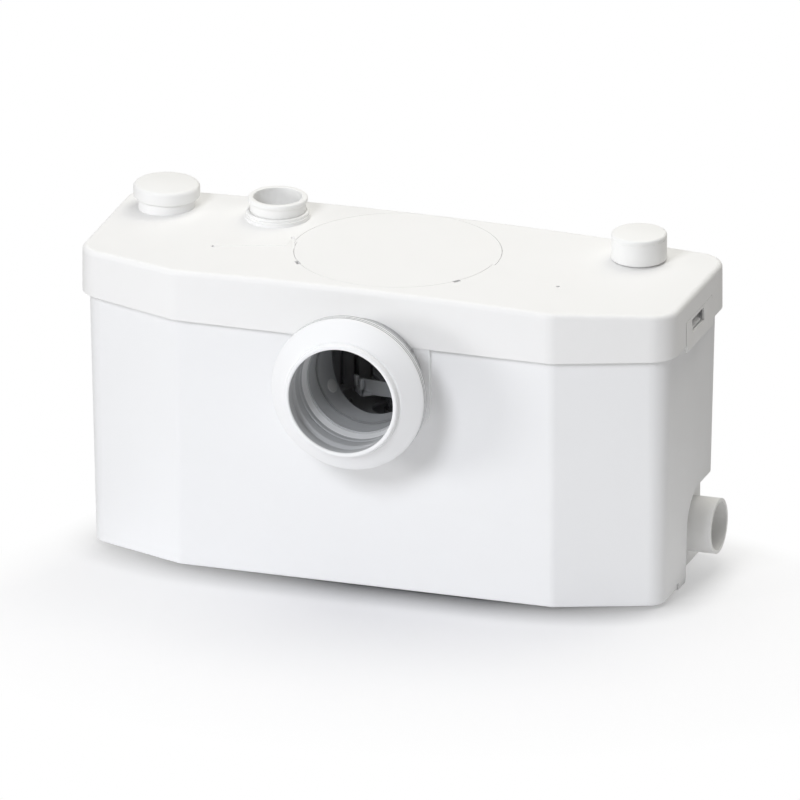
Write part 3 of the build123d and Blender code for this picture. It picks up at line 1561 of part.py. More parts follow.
with BuildPart() as microswitch:
    microswitch_z = plunger_low + plunger_length + plunger_travel + rest_gap
    with BuildSketch(Plane.XY.offset(microswitch_z)):
        with Locations((chamber_x, chamber_y)):
            Rectangle(microswitch_length, microswitch_width)
    extrude(amount=microswitch_height)
    # Legs down to the floor of the box, on both sides of the plunger
    with BuildSketch(Plane.XY.offset(box_floor_z)):
        for end in (-1, 1):
            with Locations((chamber_x + end * microswitch_length / 2, chamber_y)):
                Rectangle(
                    microswitch_length / 2 - plunger_radius - plunger_travel,
                    microswitch_width,
                    align=(Align.MAX if end > 0 else Align.MIN, Align.CENTER),
                )
    extrude(amount=microswitch_z - box_floor_z)

with BuildPart() as capacitor:
    capacitor_x = (
        switch_box_left + switch_box_length - switch_box_wall - capacitor_side_gap - capacitor_radius
    )
    capacitor_z = box_floor_z + capacitor_clip_thickness + capacitor_radius
    with BuildSketch(Plane.XZ.offset(capacitor_length / 2 - box_middle_y)):
        with Locations((capacitor_x, capacitor_z)):
            Circle(capacitor_radius)
    extrude(amount=-capacitor_length)
    fillet(capacitor.edges(), capacitor_clip_thickness)

with BuildPart() as capacitor_clip:
    with BuildSketch(Plane.XZ.offset(capacitor_clip_width / 2 - box_middle_y)):
        with Locations((capacitor_x, capacitor_z)):
            Circle(capacitor_radius + capacitor_clip_thickness)
            Circle(capacitor_radius + fit_gap, mode=Mode.SUBTRACT)
            with Locations((0, capacitor_radius / 2)):
                Rectangle(
                    2 * capacitor_radius + 2 * capacitor_side_gap,
                    2 * capacitor_radius,
                    align=(Align.CENTER, Align.MIN),
                    mode=Mode.SUBTRACT,
                )
    extrude(amount=-capacitor_clip_width)

with BuildPart() as terminal_block:
    terminal_x = switch_box_left + switch_box_wall + switch_box_post_radius * 2 + terminal_length / 2
    terminal_y = switch_box_y + switch_box_depth - switch_box_wall - terminal_width
    with BuildSketch(Plane.XY.offset(box_floor_z)):
        with Locations((terminal_x + switch_box_screw_inset, terminal_y)):
            Rectangle(terminal_length, terminal_width)
    extrude(amount=terminal_height)
    with BuildSketch(Plane.XY.offset(box_floor_z + terminal_height)):
        with Locations((terminal_x + switch_box_screw_inset, terminal_y)):
            with GridLocations(terminal_hole_pitch, 0, terminal_hole_count, 1):
                Circle(terminal_hole_radius)
    extrude(amount=-terminal_hole_depth, mode=Mode.SUBTRACT)

with BuildPart() as switch_box_cover:
    with BuildSketch(Plane.XY.offset(box_top_z)):
        with Locations((box_middle_x, box_middle_y)):
            RectangleRounded(switch_box_length, switch_box_depth, 2 * switch_box_wall)
        with Locations(*box_screw_places):
            Circle(switch_box_screw_radius + fit_gap, mode=Mode.SUBTRACT)
    extrude(amount=switch_box_cover_thickness)

with BuildPart() as switch_box_screws:
    with BuildSketch(Plane.XY.offset(box_top_z - switch_box_screw_length)):
        with Locations(*box_screw_places):
            Circle(switch_box_screw_radius)
    extrude(amount=switch_box_screw_length + switch_box_cover_thickness)
    with BuildSketch(Plane.XY.offset(box_top_z + switch_box_cover_thickness)):
        with Locations(*box_screw_places):
            Circle(switch_box_screw_head_radius)
    extrude(amount=switch_box_screw_head_height)

# Cable gland
gland_wall_y = rear_y - tank_inset(gland_height)
gland_inner_y = gland_wall_y - tank_wall
with BuildPart() as cable_gland:
    with BuildSketch(Plane.XZ.offset(-gland_wall_y - rest_gap)):
        with Locations((gland_x, gland_height)):
            RegularPolygon(gland_head_across_flats / 2, hexagon_sides, major_radius=False)
    extrude(amount=-gland_head_length)
    with BuildSketch(Plane.XZ.offset(-gland_wall_y - rest_gap)):
        with Locations((gland_x, gland_height)):
            Circle(gland_radius)
    extrude(amount=rest_gap + tank_wall + gland_inner_length)
    with BuildSketch(Plane.XZ.offset(-rear_y)):
        with Locations((gland_x, gland_height)):
            Circle(gland_bore_radius)
    extrude(amount=body_depth / 2, mode=Mode.SUBTRACT)

with BuildPart() as gland_nut:
    with BuildSketch(Plane.XZ.offset(-gland_inner_y + rest_gap)):
        with Locations((gland_x, gland_height)):
            RegularPolygon(gland_head_across_flats / 2, hexagon_sides, major_radius=False)
            Circle(gland_radius + fit_gap, mode=Mode.SUBTRACT)
    extrude(amount=gland_nut_length)

pieces = {
    "tank": tank.part,
    "rubber_feet": rubber_feet.part,
    "lid_seal": lid_seal.part,
    "lid": lid.part,
    "service_cover": service_cover.part,
    "latch_right": latch_right,
    "latch_left": latch_left,
    "vent_cap": vent_cap.part,
    "carbon_filter": carbon_filter.part,
    "inlet_cap": inlet_cap.part,
    "discharge_collar": discharge_collar.part,
    "collar_seal": collar_seal.part,
    "wc_sleeve": wc_sleeve.part,
    "sleeve_clamp": sleeve_clamp.part,
    "clamp_screw": clamp_screw.part,
    "side_inlet_right": make_side_inlet(1),
    "side_inlet_left": make_side_inlet(-1),
    "side_nut_right": make_side_nut(1),
    "side_nut_left": make_side_nut(-1),
    "flap_right": make_flap(1),
    "flap_left": make_flap(-1),
    "flap_pins": flap_pins.part,
    "side_plug_left": side_plug_left.part,
    "pump_mounts": pump_mounts.part,
    "pump_cover": pump_cover.part,
    "pump_volute": pump_volute.part,
    "pump_screws": pump_screws.part,
    "impeller": impeller.part,
    "impeller_screw": impeller_screw.part,
    "motor_can": motor_can.part,
    "motor_top_plate": motor_top_plate.part,
    "bearing_lower": bearing_lower,
    "bearing_upper": bearing_upper,
    "seal_lower": seal_lower,
    "seal_upper": seal_upper,
    "stator": stator,
    "stator_windings": stator_windings.part,
    "rotor_core": rotor_core,
    "shaft": shaft.part,
    "grinder_basket": grinder_basket.part,
    "inlet_tube": inlet_tube.part,
    "basket_screws": basket_screws.part,
    "cutter_blade": cutter_blade.part,
    "blade_nut": blade_nut.part,
    "discharge_riser": discharge_riser.part,
    "check_valve_body": check_valve_body.part,
    "check_valve_flap": check_valve_flap.part,
    "check_valve_pin": check_valve_pin.part,
    "pressure_chamber": pressure_chamber.part,
    "diaphragm": diaphragm.part,
    "switch_box": switch_box.part,
    "switch_plunger": switch_plunger.part,
    "microswitch": microswitch.part,
    "capacitor": capacitor.part,
    "capacitor_clip": capacitor_clip.part,
    "terminal_block": terminal_block.part,
    "switch_box_cover": switch_box_cover.part,
    "switch_box_screws": switch_box_screws.part,
    "cable_gland": cable_gland.part,
    "gland_nut": gland_nut.part,
}

os.makedirs("parts", exist_ok=True)
for name, piece in pieces.items():
    piece.label = name
    export_step(piece, f"parts/{name}.step")
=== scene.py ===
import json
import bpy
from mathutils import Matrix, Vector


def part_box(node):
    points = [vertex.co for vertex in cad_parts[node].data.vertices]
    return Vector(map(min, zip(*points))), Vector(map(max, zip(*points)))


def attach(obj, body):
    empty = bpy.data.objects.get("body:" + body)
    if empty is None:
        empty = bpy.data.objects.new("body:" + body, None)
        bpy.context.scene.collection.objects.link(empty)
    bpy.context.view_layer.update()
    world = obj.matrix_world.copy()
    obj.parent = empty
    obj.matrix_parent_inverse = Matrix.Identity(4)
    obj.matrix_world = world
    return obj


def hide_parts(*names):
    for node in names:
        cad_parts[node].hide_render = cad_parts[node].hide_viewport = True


bl_info = {
    "name": "Macerator Toilet Pump",
    "version": (1, 0, 0),
    "blender": (4, 5, 0),
    "location": "View3D > Sidebar > Macerator",
    "description": "Dresses the pump's fixed frame with moulded, rubber and metal pieces",
    "category": "Object",
}

from math import cos, pi, radians, sin

import bmesh
import bpy
from bpy.props import FloatProperty, FloatVectorProperty, IntProperty, PointerProperty
from bpy.types import Operator, Panel, PropertyGroup
from mathutils import Matrix, Vector

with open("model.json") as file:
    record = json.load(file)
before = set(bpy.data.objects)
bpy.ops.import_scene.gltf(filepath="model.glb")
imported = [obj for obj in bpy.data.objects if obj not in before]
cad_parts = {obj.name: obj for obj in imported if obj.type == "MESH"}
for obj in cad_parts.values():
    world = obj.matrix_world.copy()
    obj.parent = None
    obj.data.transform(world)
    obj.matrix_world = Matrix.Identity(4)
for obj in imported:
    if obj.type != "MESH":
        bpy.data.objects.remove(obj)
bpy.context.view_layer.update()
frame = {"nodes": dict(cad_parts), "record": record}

# Points this close are merged, and corners this close are the same one, in metres
merge_distance = 1e-7
same_place = 1e-6
# Edges that bend more than this stay sharp
sharp_angle = radians(32)

# Finish of each material slot
finish_names = {
    "white_body": "Tank plastic",
    "white_lid": "Lid plastic",
    "white_trim": "Trim plastic",
    "white_rubber": "Connector rubber",
    "black_rubber": "Black rubber",
    "black_plastic": "Black plastic",
    "grey_plastic": "Grey plastic",
    "light_grey_plastic": "Pale plastic",
    "stainless": "Stainless steel",
    "bearing_steel": "Bearing steel",
    "electrical_steel": "Laminated steel",
    "aluminium_casting": "Cast aluminium",
    "copper_winding": "Copper wire",
    "ceramic_seal": "Seal ceramic",
    "carbon": "Carbon granules",
}

# Nodes that keep their shape, by the operator that dresses them
shell_nodes = ("tank", "lid", "service_cover", "latch_right", "latch_left", "lid_seal")
clamp_nodes = ("sleeve_clamp", "clamp_screw")
neck_nodes = ("collar_seal", "carbon_filter")
# Nodes whose place is taken by a piece that is shaped here
replaced_nodes = ("wc_sleeve", "vent_cap", "inlet_cap", "discharge_collar", "cutter_blade")
# Nodes that show through the pan connector and have a finish of their own
special_finishes = {"grinder_basket": "Basket plastic", "inlet_tube": "Tube plastic"}


def length(name, words, default):
    """Length property in metres"""
    return FloatProperty(name=name, description=words, default=default, unit="LENGTH", precision=5)


def amount(name, words, default):
    """Plain number property"""
    return FloatProperty(name=name, description=words, default=default)


def steps(name, words, default):
    """Whole number property"""
    return IntProperty(name=name, description=words, default=default)


def colour(name, words, default):
    """Colour property"""
    return FloatVectorProperty(
        name=name, description=words, default=default, size=3, subtype="COLOR", min=0, max=1
    )


class ConnectorSizes(PropertyGroup):
    """Sizes of the pan connector, with its places measured back from the lip's front"""

    ring_steps: steps("Ring steps", "Sides of the connector", 128)
    lip: length("Lip radius", "Outer radius of the lip", 0.0488)
    bore: length("Lip bore", "Inner radius of the lip and of the ring at the back", 0.045)
    wall: length("Barrel bore", "Inner radius between the lip and the ring", 0.047)
    cone: length("Cone radius", "Where the flange's cone starts", 0.0505)
    rim: length("Flange radius", "Outer radius of the flange", 0.0658)
    neck: length("Neck radius", "Outer radius behind the flange", 0.0535)
    seat: length("Seat bore", "Inner radius that sits on the tank's spigot", 0.04955)
    groove: length("Rim groove", "Depth of the first two grooves in the flange's rim", 0.0024)
    last_groove: length("Last rim groove", "Depth of the groove nearest the tank", 0.006)
    fold: length("Fold depth", "Depth of the wide fold inside", 0.0032)
    lip_back: length("Lip back", "Back of the lip", 0.006)
    cone_end: length("Cone end", "Where the cone meets the rim's chamfer", 0.0167)
    rim_front: length("Rim front", "Front of the flange's rim", 0.0185)
    rim_back: length("Rim back", "Back of the flange's rim", 0.0272)
    fold_front: length("Fold front", "Front of the wide fold", 0.0135)
    fold_back: length("Fold back", "Back of the wide fold", 0.0212)
    ring_front: length("Ring front", "Front of the ring inside", 0.0424)
    ring_back: length("Ring back", "Back of the ring inside", 0.0476)
    seat_length: length("Seat length", "Length of the seat on the spigot", 0.0081)
    boss: length("Boss radius", "Radius of the moulding mark in the tube behind", 0.0056)
    boss_height: length("Boss height", "Thickness of the moulding mark", 0.0022)
    boss_edge: length("Boss edge", "Rounding of the moulding mark", 0.0004)


class CapSizes(PropertyGroup):
    """Sizes of the two caps and of the discharge collar"""

    ring_steps: steps("Ring steps", "Sides of a cap or collar", 96)
    plate: length("Cap plate", "Thickness of the top of both caps", 0.003)
    vent: length("Vent cap radius", "Outer radius of the vent cap", 0.0275)
    vent_bore: length("Vent cap bore", "Inner radius of the vent cap", 0.0237)
    vent_rounding: length("Vent cap rounding", "Top rounding of the vent cap", 0.0036)
    inlet: length("Inlet cap radius", "Outer radius of the inlet cap", 0.023)
    inlet_bore: length("Inlet cap bore", "Inner radius of the inlet cap", 0.0203)
    inlet_rounding: length("Inlet cap rounding", "Top rounding of the inlet cap", 0.0022)
    inlet_line: length("Inlet cap line", "From the inlet cap's top to its fine groove", 0.0041)
    collar_height: length("Collar height", "From the lid's pad to the collar's lip", 0.016)
    collar_lip: length("Collar lip", "Outer radius of the collar's lip", 0.0247)
    collar_bead: length("Collar bead", "Rounding of the collar's lip", 0.0014)
    collar_bore: length("Collar bore", "Inner radius of the collar", 0.02)
    shank: length("Shank radius", "Outer radius of the collar's shank", 0.023)
    upper_step: length("Upper step", "Radius of the upper step of the collar's foot", 0.0257)
    lower_step: length("Lower step", "Radius of the lower step of the collar's foot", 0.0267)
    spigot: length("Spigot radius", "Outer radius of the collar under the pad", 0.0226)
    socket: length("Socket radius", "Inner radius of the collar under the pad", 0.0203)
    ledge: length("Ledge bore", "Inner radius of the ledge that stops the pipe", 0.015)


class CutterSizes(PropertyGroup):
    """Sizes of the cutter on the pump's shaft"""

    ring_steps: steps("Ring steps", "Sides of the hub", 96)
    plate: length("Cutter plate", "Thickness of the cutter", 0.003)
    hub: length("Hub radius", "Outer radius of the hub", 0.017)
    hole: length("Hole radius", "Hole for the shaft", 0.0043)
    reach: length("Cutter reach", "From the shaft to the cutter's tips", 0.035)
    width: length("Cutter width", "Width of the cutter's arms", 0.015)
    arm_turn: amount("Arm turn", "Turn of the arms, in degrees", 40.0)
    tooth: length("Tooth width", "Width of the teeth on a tip", 0.005)
    knife: length("Knife thickness", "Thickness of the long knives", 0.0024)
    knife_distance: length("Knife distance", "From the shaft to the long knives", 0.0216)
    knife_length: length("Knife length", "Length of the long knives", 0.044)
    knife_turn: amount("Knife turn", "Turn of the long knives, in degrees", 85.0)
    edge: length("Edge rounding", "Rounding of the cutter's edges", 0.0004)


class PumpColours(PropertyGroup):
    """Colours of the finishes"""

    shell: colour("Shell", "White of the tank", (0.875, 0.880, 0.885))
    lid: colour("Lid", "White of the lid", (0.885, 0.884, 0.878))
    trim: colour("Trim", "White of caps, collar and spigots", (0.885, 0.885, 0.875))
    soft_white: colour("Soft white", "Rubber of the pan connector", (0.885, 0.890, 0.895))
    # Grey painted as shade inside the pan connector and the tank's spigot; the inlet tube also
    # takes its own grey from it
    grey_and_painted_shade: colour("Grey and painted shade", "Grey inside of the pan connector", (0.560, 0.570, 0.580))
    basket: colour("Basket", "Grey of the grinder basket", (0.560, 0.565, 0.575))
    cutter: colour("Cutter", "Blasted steel of the cutter", (0.930, 0.950, 0.970))
    rubber: colour("Rubber", "Black rubber", (0.018, 0.018, 0.020))
    dark: colour("Dark plastic", "Black plastic inside the tank", (0.030, 0.031, 0.034))
    grey: colour("Grey plastic", "Grey plastic of the pump", (0.230, 0.240, 0.260))
    pale: colour("Pale plastic", "Plastic of nuts and terminals", (0.480, 0.490, 0.500))
    steel: colour("Steel", "Stainless steel", (0.560, 0.560, 0.570))
    core: colour("Core", "Laminated electrical steel", (0.220, 0.230, 0.250))
    cast: colour("Casting", "Cast aluminium", (0.520, 0.530, 0.540))
    copper: colour("Copper", "Enamelled copper wire", (0.560, 0.220, 0.070))
    ceramic: colour("Ceramic", "Seal faces", (0.090, 0.085, 0.085))
    carbon: colour("Carbon", "Granules in the vent's filter", (0.020, 0.020, 0.021))


class PumpStage(PropertyGroup):
    """Lamps, floor and camera"""

    azimuth: amount("Azimuth", "Camera's turn to the right, in degrees", 18.23)
    elevation: amount("Elevation", "Camera's angle above the floor, in degrees", 20.87)
    scale: length("Picture width", "Width that the camera sees", 0.65633)
    distance: length("Distance", "From the camera to the object", 3.0)
    ambient: amount("Ambient", "Strength of the even light", 0.297)
    left: amount("Left lamp", "Power of the left softbox", 26.0)
    front: amount("Front lamp", "Power of the front softbox", 44.0)
    top: amount("Top lamp", "Power of the overhead softbox", 17.0)
    rear: amount("Rear lamp", "Power of the rear softbox", 15.0)
    floor: colour("Floor", "Floor near the object", (0.93, 0.93, 0.945))
    floor_reach: length("Floor reach", "From the middle of the floor to its edges", 1.6)
    contact: amount("Contact", "Share of the floor's tone that is left at the tank", 0.28)
    contact_reach: length("Contact reach", "How far the contact shade reaches", 0.055)


def add_node(tree, kind, links=None, **settings):
    """Shader node with its settings and inputs"""
    node = tree.nodes.new(kind)
    for key, value in settings.items():
        setattr(node, key, value)
    for key, value in (links or {}).items():
        if isinstance(value, bpy.types.NodeSocket):
            tree.links.new(value, node.inputs[key])
        else:
            node.inputs[key].default_value = value
    return node


def object_place(tree):
    """Coordinates of the object"""
    return add_node(tree, "ShaderNodeTexCoord").outputs["Object"]


def mapped(tree, place, centre=(0, 0, 0), turn=(0, 0, 0), stretch=(1, 1, 1)):
    """Coordinates moved, turned and stretched"""
    links = {"Vector": place, "Location": centre, "Rotation": turn, "Scale": stretch}
    return add_node(tree, "ShaderNodeMapping", links).outputs["Vector"]


def distance_of(tree, place):
    """Distance of a place from the centre of its coordinates"""
    node = add_node(tree, "ShaderNodeVectorMath", {0: place}, operation="LENGTH")
    return node.outputs["Value"]


def parts_of(tree, place):
    """X, Y and Z of a place"""
    return add_node(tree, "ShaderNodeSeparateXYZ", {0: place}).outputs


def combined(tree, operation, first, second):
    """Product of two values, or the greater of them"""
    node = add_node(tree, "ShaderNodeMath", {0: first, 1: second}, operation=operation)
    return node.outputs["Value"]


def noise(tree, place, scale, detail=2.0, roughness=0.5):
    """Noise value at a scale in cycles per metre"""
    links = {"Vector": place, "Scale": scale, "Detail": detail, "Roughness": roughness}
    return add_node(tree, "ShaderNodeTexNoise", links).outputs["Fac"]


def ranged(tree, value, low, high, start=0.3, end=0.7):
    """Value carried from the range start to end to the range low to high"""
    links = {"Value": value, "From Min": start, "From Max": end, "To Min": low, "To Max": high}
    return add_node(tree, "ShaderNodeMapRange", links).outputs["Result"]


def blended(tree, factor, first, second):
    """Mix of two colours"""
    node = add_node(tree, "ShaderNodeMix", {"Factor": factor}, data_type="RGBA")
    first_colour, second_colour, mixed_colour = 6, 7, 2
    for key, value in ((first_colour, first), (second_colour, second)):
        if isinstance(value, bpy.types.NodeSocket):
            tree.links.new(value, node.inputs[key])
        else:
            node.inputs[key].default_value = (*value[:3], 1)
    return node.outputs[mixed_colour]


def mixed_shader(tree, factor, first, second):
    """Mix of two shaders"""
    links = {0: factor, 1: first, 2: second}
    return add_node(tree, "ShaderNodeMixShader", links).outputs["Shader"]


def bumped(tree, height, distance, strength):
    """Normal from a height"""
    links = {"Height": height, "Distance": distance, "Strength": strength}
    return add_node(tree, "ShaderNodeBump", links).outputs["Normal"]


def shade(value, factor):
    """Colour made darker or lighter"""
    return tuple(min(part * factor, 1) for part in value)


def start_finish(name, stretch=(1, 1, 1)):
    """New material: its tree, its shader and stretched object coordinates"""
    material = bpy.data.materials.new(name)
    material.use_nodes = True
    tree = material.node_tree
    return tree, tree.nodes["Principled BSDF"], mapped(tree, object_place(tree), stretch=stretch)


def wire_up(tree, shader, tone, roughness, normal):
    """Give a shader its tone, gloss and skin"""
    tree.links.new(tone, shader.inputs["Base Color"])
    tree.links.new(roughness, shader.inputs["Roughness"])
    tree.links.new(normal, shader.inputs["Normal"])


def moulded_finish(
    name, tone, roughness, mottle=0.02, grain=0.00001, grain_scale=260.0, part=None
):
    """Injection-moulded plastic: cloudy tone, uneven gloss and a fine skin"""
    tree, shader, place = start_finish(name)
    cloud = noise(tree, place, scale=18.0, detail=3.0)
    flow = noise(tree, place, scale=70.0, detail=4.0)
    skin = noise(tree, place, scale=grain_scale)
    cloudy = blended(tree, cloud, shade(tone, 1 - mottle), tone)
    if part:
        mask, other = part
        cloudy = blended(tree, mask(tree, place), cloudy, other)
    gloss = ranged(tree, flow, low=roughness * 0.9, high=roughness * 1.15)
    wire_up(tree, shader, cloudy, gloss, bumped(tree, skin, distance=grain, strength=0.6))
    shader.inputs["IOR"].default_value = 1.49


def mouth_shade_mask(tree, place):
    """1 inside the spigot of the pan inlet, where grey is painted as shade, and 0 elsewhere"""
    inner_radius, outer_radius, fade = 0.0482, 0.0486, 0.001
    low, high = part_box("inlet_tube")
    middle = (low.z + high.z) / 2
    flat = mapped(tree, place, centre=(0, 0, -middle), stretch=(1, 0, 1))
    away = distance_of(tree, flat)
    depth = parts_of(tree, place)["Y"]
    near = ranged(tree, away, low=1.0, high=0.0, start=inner_radius, end=outer_radius)
    shallow = ranged(tree, depth, low=1.0, high=0.0, start=high.y, end=high.y + fade)
    return combined(tree, "MULTIPLY", near, shallow)


def joint_shade_mask(tree, place):
    """1 at the front edge of the inlet tube, where it meets the spigot, for a dark line painted as
    the gap's shade
    """
    line_start, line_end = 0.0002, 0.0008
    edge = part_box("inlet_tube")[0].y
    depth = parts_of(tree, place)["Y"]
    return ranged(tree, depth, low=1.0, high=0.0, start=edge + line_start, end=edge + line_end)


def rubber_finish(name, tone, roughness, dust=0.03):
    """Moulded rubber with a bloom of dust in its tone and a matt, pebbled skin"""
    tree, shader, place = start_finish(name)
    bloom = noise(tree, place, scale=45.0, detail=5.0, roughness=0.6)
    pebble = noise(tree, place, scale=1600.0)
    dusty = blended(tree, bloom, tone, tuple(part + dust for part in tone))
    gloss = ranged(tree, bloom, low=roughness * 0.85, high=roughness * 1.1)
    wire_up(tree, shader, dusty, gloss, bumped(tree, pebble, distance=0.00003, strength=0.7))


def steel_finish(name, tone, roughness, stretch):
    """Rolled or turned metal: fine lines across the stretch and faint stains"""
    tree, shader, place = start_finish(name, stretch)
    lines = noise(tree, place, scale=600.0, detail=3.0, roughness=0.7)
    cloud = noise(tree, object_place(tree), scale=35.0, detail=4.0, roughness=0.6)
    stain = ranged(tree, cloud, low=0.0, high=0.12)
    lined = blended(tree, lines, shade(tone, 0.86), shade(tone, 1.06))
    stained = blended(tree, stain, lined, shade(tone, 0.6))
    gloss = ranged(tree, lines, low=roughness * 0.8, high=roughness * 1.25)
    wire_up(tree, shader, stained, gloss, bumped(tree, lines, distance=0.00001, strength=0.5))
    shader.inputs["Metallic"].default_value = 1.0


def cast_finish(name, tone):
    """Sand-textured light alloy casting"""
    tree, shader, place = start_finish(name)
    sand = noise(tree, place, scale=1100.0, detail=4.0, roughness=0.65)
    cloud = noise(tree, place, scale=60.0, detail=3.0)
    cloudy = blended(tree, cloud, shade(tone, 0.85), tone)
    gloss = ranged(tree, sand, low=0.42, high=0.6)
    wire_up(tree, shader, cloudy, gloss, bumped(tree, sand, distance=0.00008, strength=0.6))
    shader.inputs["Metallic"].default_value = 1.0


def blasted_finish(name, tone):
    """Blasted steel, pale and satin: evenly pitted and a little smeared"""
    tree, shader, place = start_finish(name)
    pits = noise(tree, place, scale=1400.0, detail=3.0, roughness=0.6)
    smear = noise(tree, place, scale=55.0, detail=4.0, roughness=0.6)
    smeared = blended(tree, smear, shade(tone, 0.8), tone)
    gloss = ranged(tree, pits, low=0.45, high=0.6)
    wire_up(tree, shader, smeared, gloss, bumped(tree, pits, distance=0.00003, strength=0.5))
    shader.inputs["Metallic"].default_value = 0.1


def laminated_finish(name, tone):
    """Stack of thin sheets, with a line at each joint"""
    tree, shader, place = start_finish(name)
    links = {"Vector": place, "Scale": 320.0, "Distortion": 0.3, "Detail": 1.0}
    bands = {"wave_type": "BANDS", "bands_direction": "Z"}
    sheets = add_node(tree, "ShaderNodeTexWave", links, **bands).outputs["Fac"]
    scale = noise(tree, place, scale=90.0, detail=4.0)
    bare = blended(tree, scale, tone, shade(tone, 0.75))
    lined = blended(tree, sheets, shade(tone, 0.5), bare)
    gloss = ranged(tree, scale, low=0.35, high=0.5)
    wire_up(tree, shader, lined, gloss, bumped(tree, sheets, distance=0.00004, strength=0.8))
    shader.inputs["Metallic"].default_value = 0.9


def wire_finish(name, tone):
    """Bundle of enamelled wire, varnished"""
    tree, shader, place = start_finish(name)
    links = {
        "Vector": place, "Scale": 210.0, "Distortion": 2.5, "Detail": 2.0, "Detail Scale": 3.0
    }
    rings = {"wave_type": "RINGS", "rings_direction": "Z"}
    wires = add_node(tree, "ShaderNodeTexWave", links, **rings).outputs["Fac"]
    varnish = noise(tree, place, scale=50.0, detail=4.0)
    wound = blended(tree, wires, shade(tone, 0.35), tone)
    gloss = ranged(tree, varnish, low=0.22, high=0.4)
    wire_up(tree, shader, wound, gloss, bumped(tree, wires, distance=0.0003, strength=0.9))
    shader.inputs["Metallic"].default_value = 0.7
    shader.inputs["Coat Weight"].default_value = 0.4


def granule_finish(name, tone):
    """Pressed carbon granules"""
    tree, shader, place = start_finish(name)
    links = {"Vector": place, "Scale": 700.0, "Randomness": 1.0}
    grains = add_node(tree, "ShaderNodeTexVoronoi", links).outputs["Distance"]
    grainy = blended(tree, grains, shade(tone, 2.5), tone)
    gloss = ranged(tree, grains, low=0.55, high=0.9, start=0.0, end=1.0)
    wire_up(tree, shader, grainy, gloss, bumped(tree, grains, distance=-0.0006, strength=1.0))


def make_finishes(colours):
    """Every finish of the pieces"""
    # The tank's white is painted grey inside the pan inlet's spigot, as shade
    moulded_finish(
        "Tank plastic", colours.shell, 0.6, mottle=0.012, part=(mouth_shade_mask, colours.grey_and_painted_shade)
    )
    moulded_finish("Lid plastic", colours.lid, 0.6, mottle=0.012)
    moulded_finish("Trim plastic", colours.trim, 0.54, mottle=0.015)
    rubber_finish("Connector rubber", colours.soft_white, 0.55, dust=0.0)
    rubber_finish("Black rubber", colours.rubber, 0.62)
    moulded_finish(
        "Black plastic", colours.dark, 0.42, mottle=0.2, grain=0.00005, grain_scale=1300.0
    )
    moulded_finish(
        "Grey plastic", colours.grey, 0.40, mottle=0.12, grain=0.00004, grain_scale=1100.0
    )
    moulded_finish("Pale plastic", colours.pale, 0.36, mottle=0.08, grain=0.00003)
    steel_finish("Stainless steel", colours.steel, 0.26, stretch=(1, 1, 12))
    steel_finish("Bearing steel", shade(colours.steel, 1.15), 0.14, stretch=(1, 1, 6))
    laminated_finish("Laminated steel", colours.core)
    cast_finish("Cast aluminium", colours.cast)
    wire_finish("Copper wire", colours.copper)
    moulded_finish("Seal ceramic", colours.ceramic, 0.18, mottle=0.1, grain_scale=2000.0)
    granule_finish("Carbon granules", colours.carbon)
    # Grey rubber painted on the connector's inner faces as shade
    rubber_finish("Connector lining", colours.grey_and_painted_shade, 0.5, dust=0.02)
    moulded_finish("Basket plastic", colours.basket, 0.5, mottle=0.2, grain=0.00004)
    # The tube's own grey, with a darker line painted at its front edge as the shade of the gap at
    # the spigot
    moulded_finish(
        "Tube plastic", shade(colours.grey_and_painted_shade, 0.95), 0.5, mottle=0.05, grain=0.00002,
        part=(joint_shade_mask, shade(colours.grey_and_painted_shade, 0.45)),
    )
    moulded_finish("Boss plastic", shade(colours.trim, 0.82), 0.5, mottle=0.04, grain=0.00002)
    blasted_finish("Blasted steel", colours.cutter)


def slot_of(node):
    """Material slot that the record gives a node"""
    return next(s["material_slot"] for s in frame["record"]["subparts"] if s["node"] == node)


def finish_of(node):
    """The finish that a node's slot asks for"""
    return bpy.data.materials[finish_names[slot_of(node)]]


def dress(nodes):
    """Give the frame's own nodes their finish"""
    for node in nodes:
        for slot in frame["nodes"][node].material_slots:
            slot.material = finish_of(node)


def add_piece(name, bm, node, body, replaces=True, finish=None):
    """Object from a finished bmesh, in place of a node or beside it"""
    bmesh.ops.remove_doubles(bm, verts=bm.verts, dist=merge_distance)
    bmesh.ops.recalc_face_normals(bm, faces=bm.faces)
    mesh = bpy.data.meshes.new(name)
    bm.to_mesh(mesh)
    bm.free()
    mesh.shade_smooth()
    mesh.set_sharp_from_angle(angle=sharp_angle)
    mesh.materials.append(bpy.data.materials[finish] if finish else finish_of(node))
    piece = bpy.data.objects.new(name, mesh)
    bpy.context.scene.collection.objects.link(piece)
    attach(piece, body)
    if replaces:
        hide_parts(node)
    return piece


def round_edges(bm, edges, rounding, segments):
    """Round some edges of a bmesh"""
    bmesh.ops.bevel(
        bm,
        geom=edges,
        offset=rounding,
        offset_type="OFFSET",
        segments=segments,
        profile=0.5,
        affect="EDGES",
        clamp_overlap=True,
        material=-1,
    )


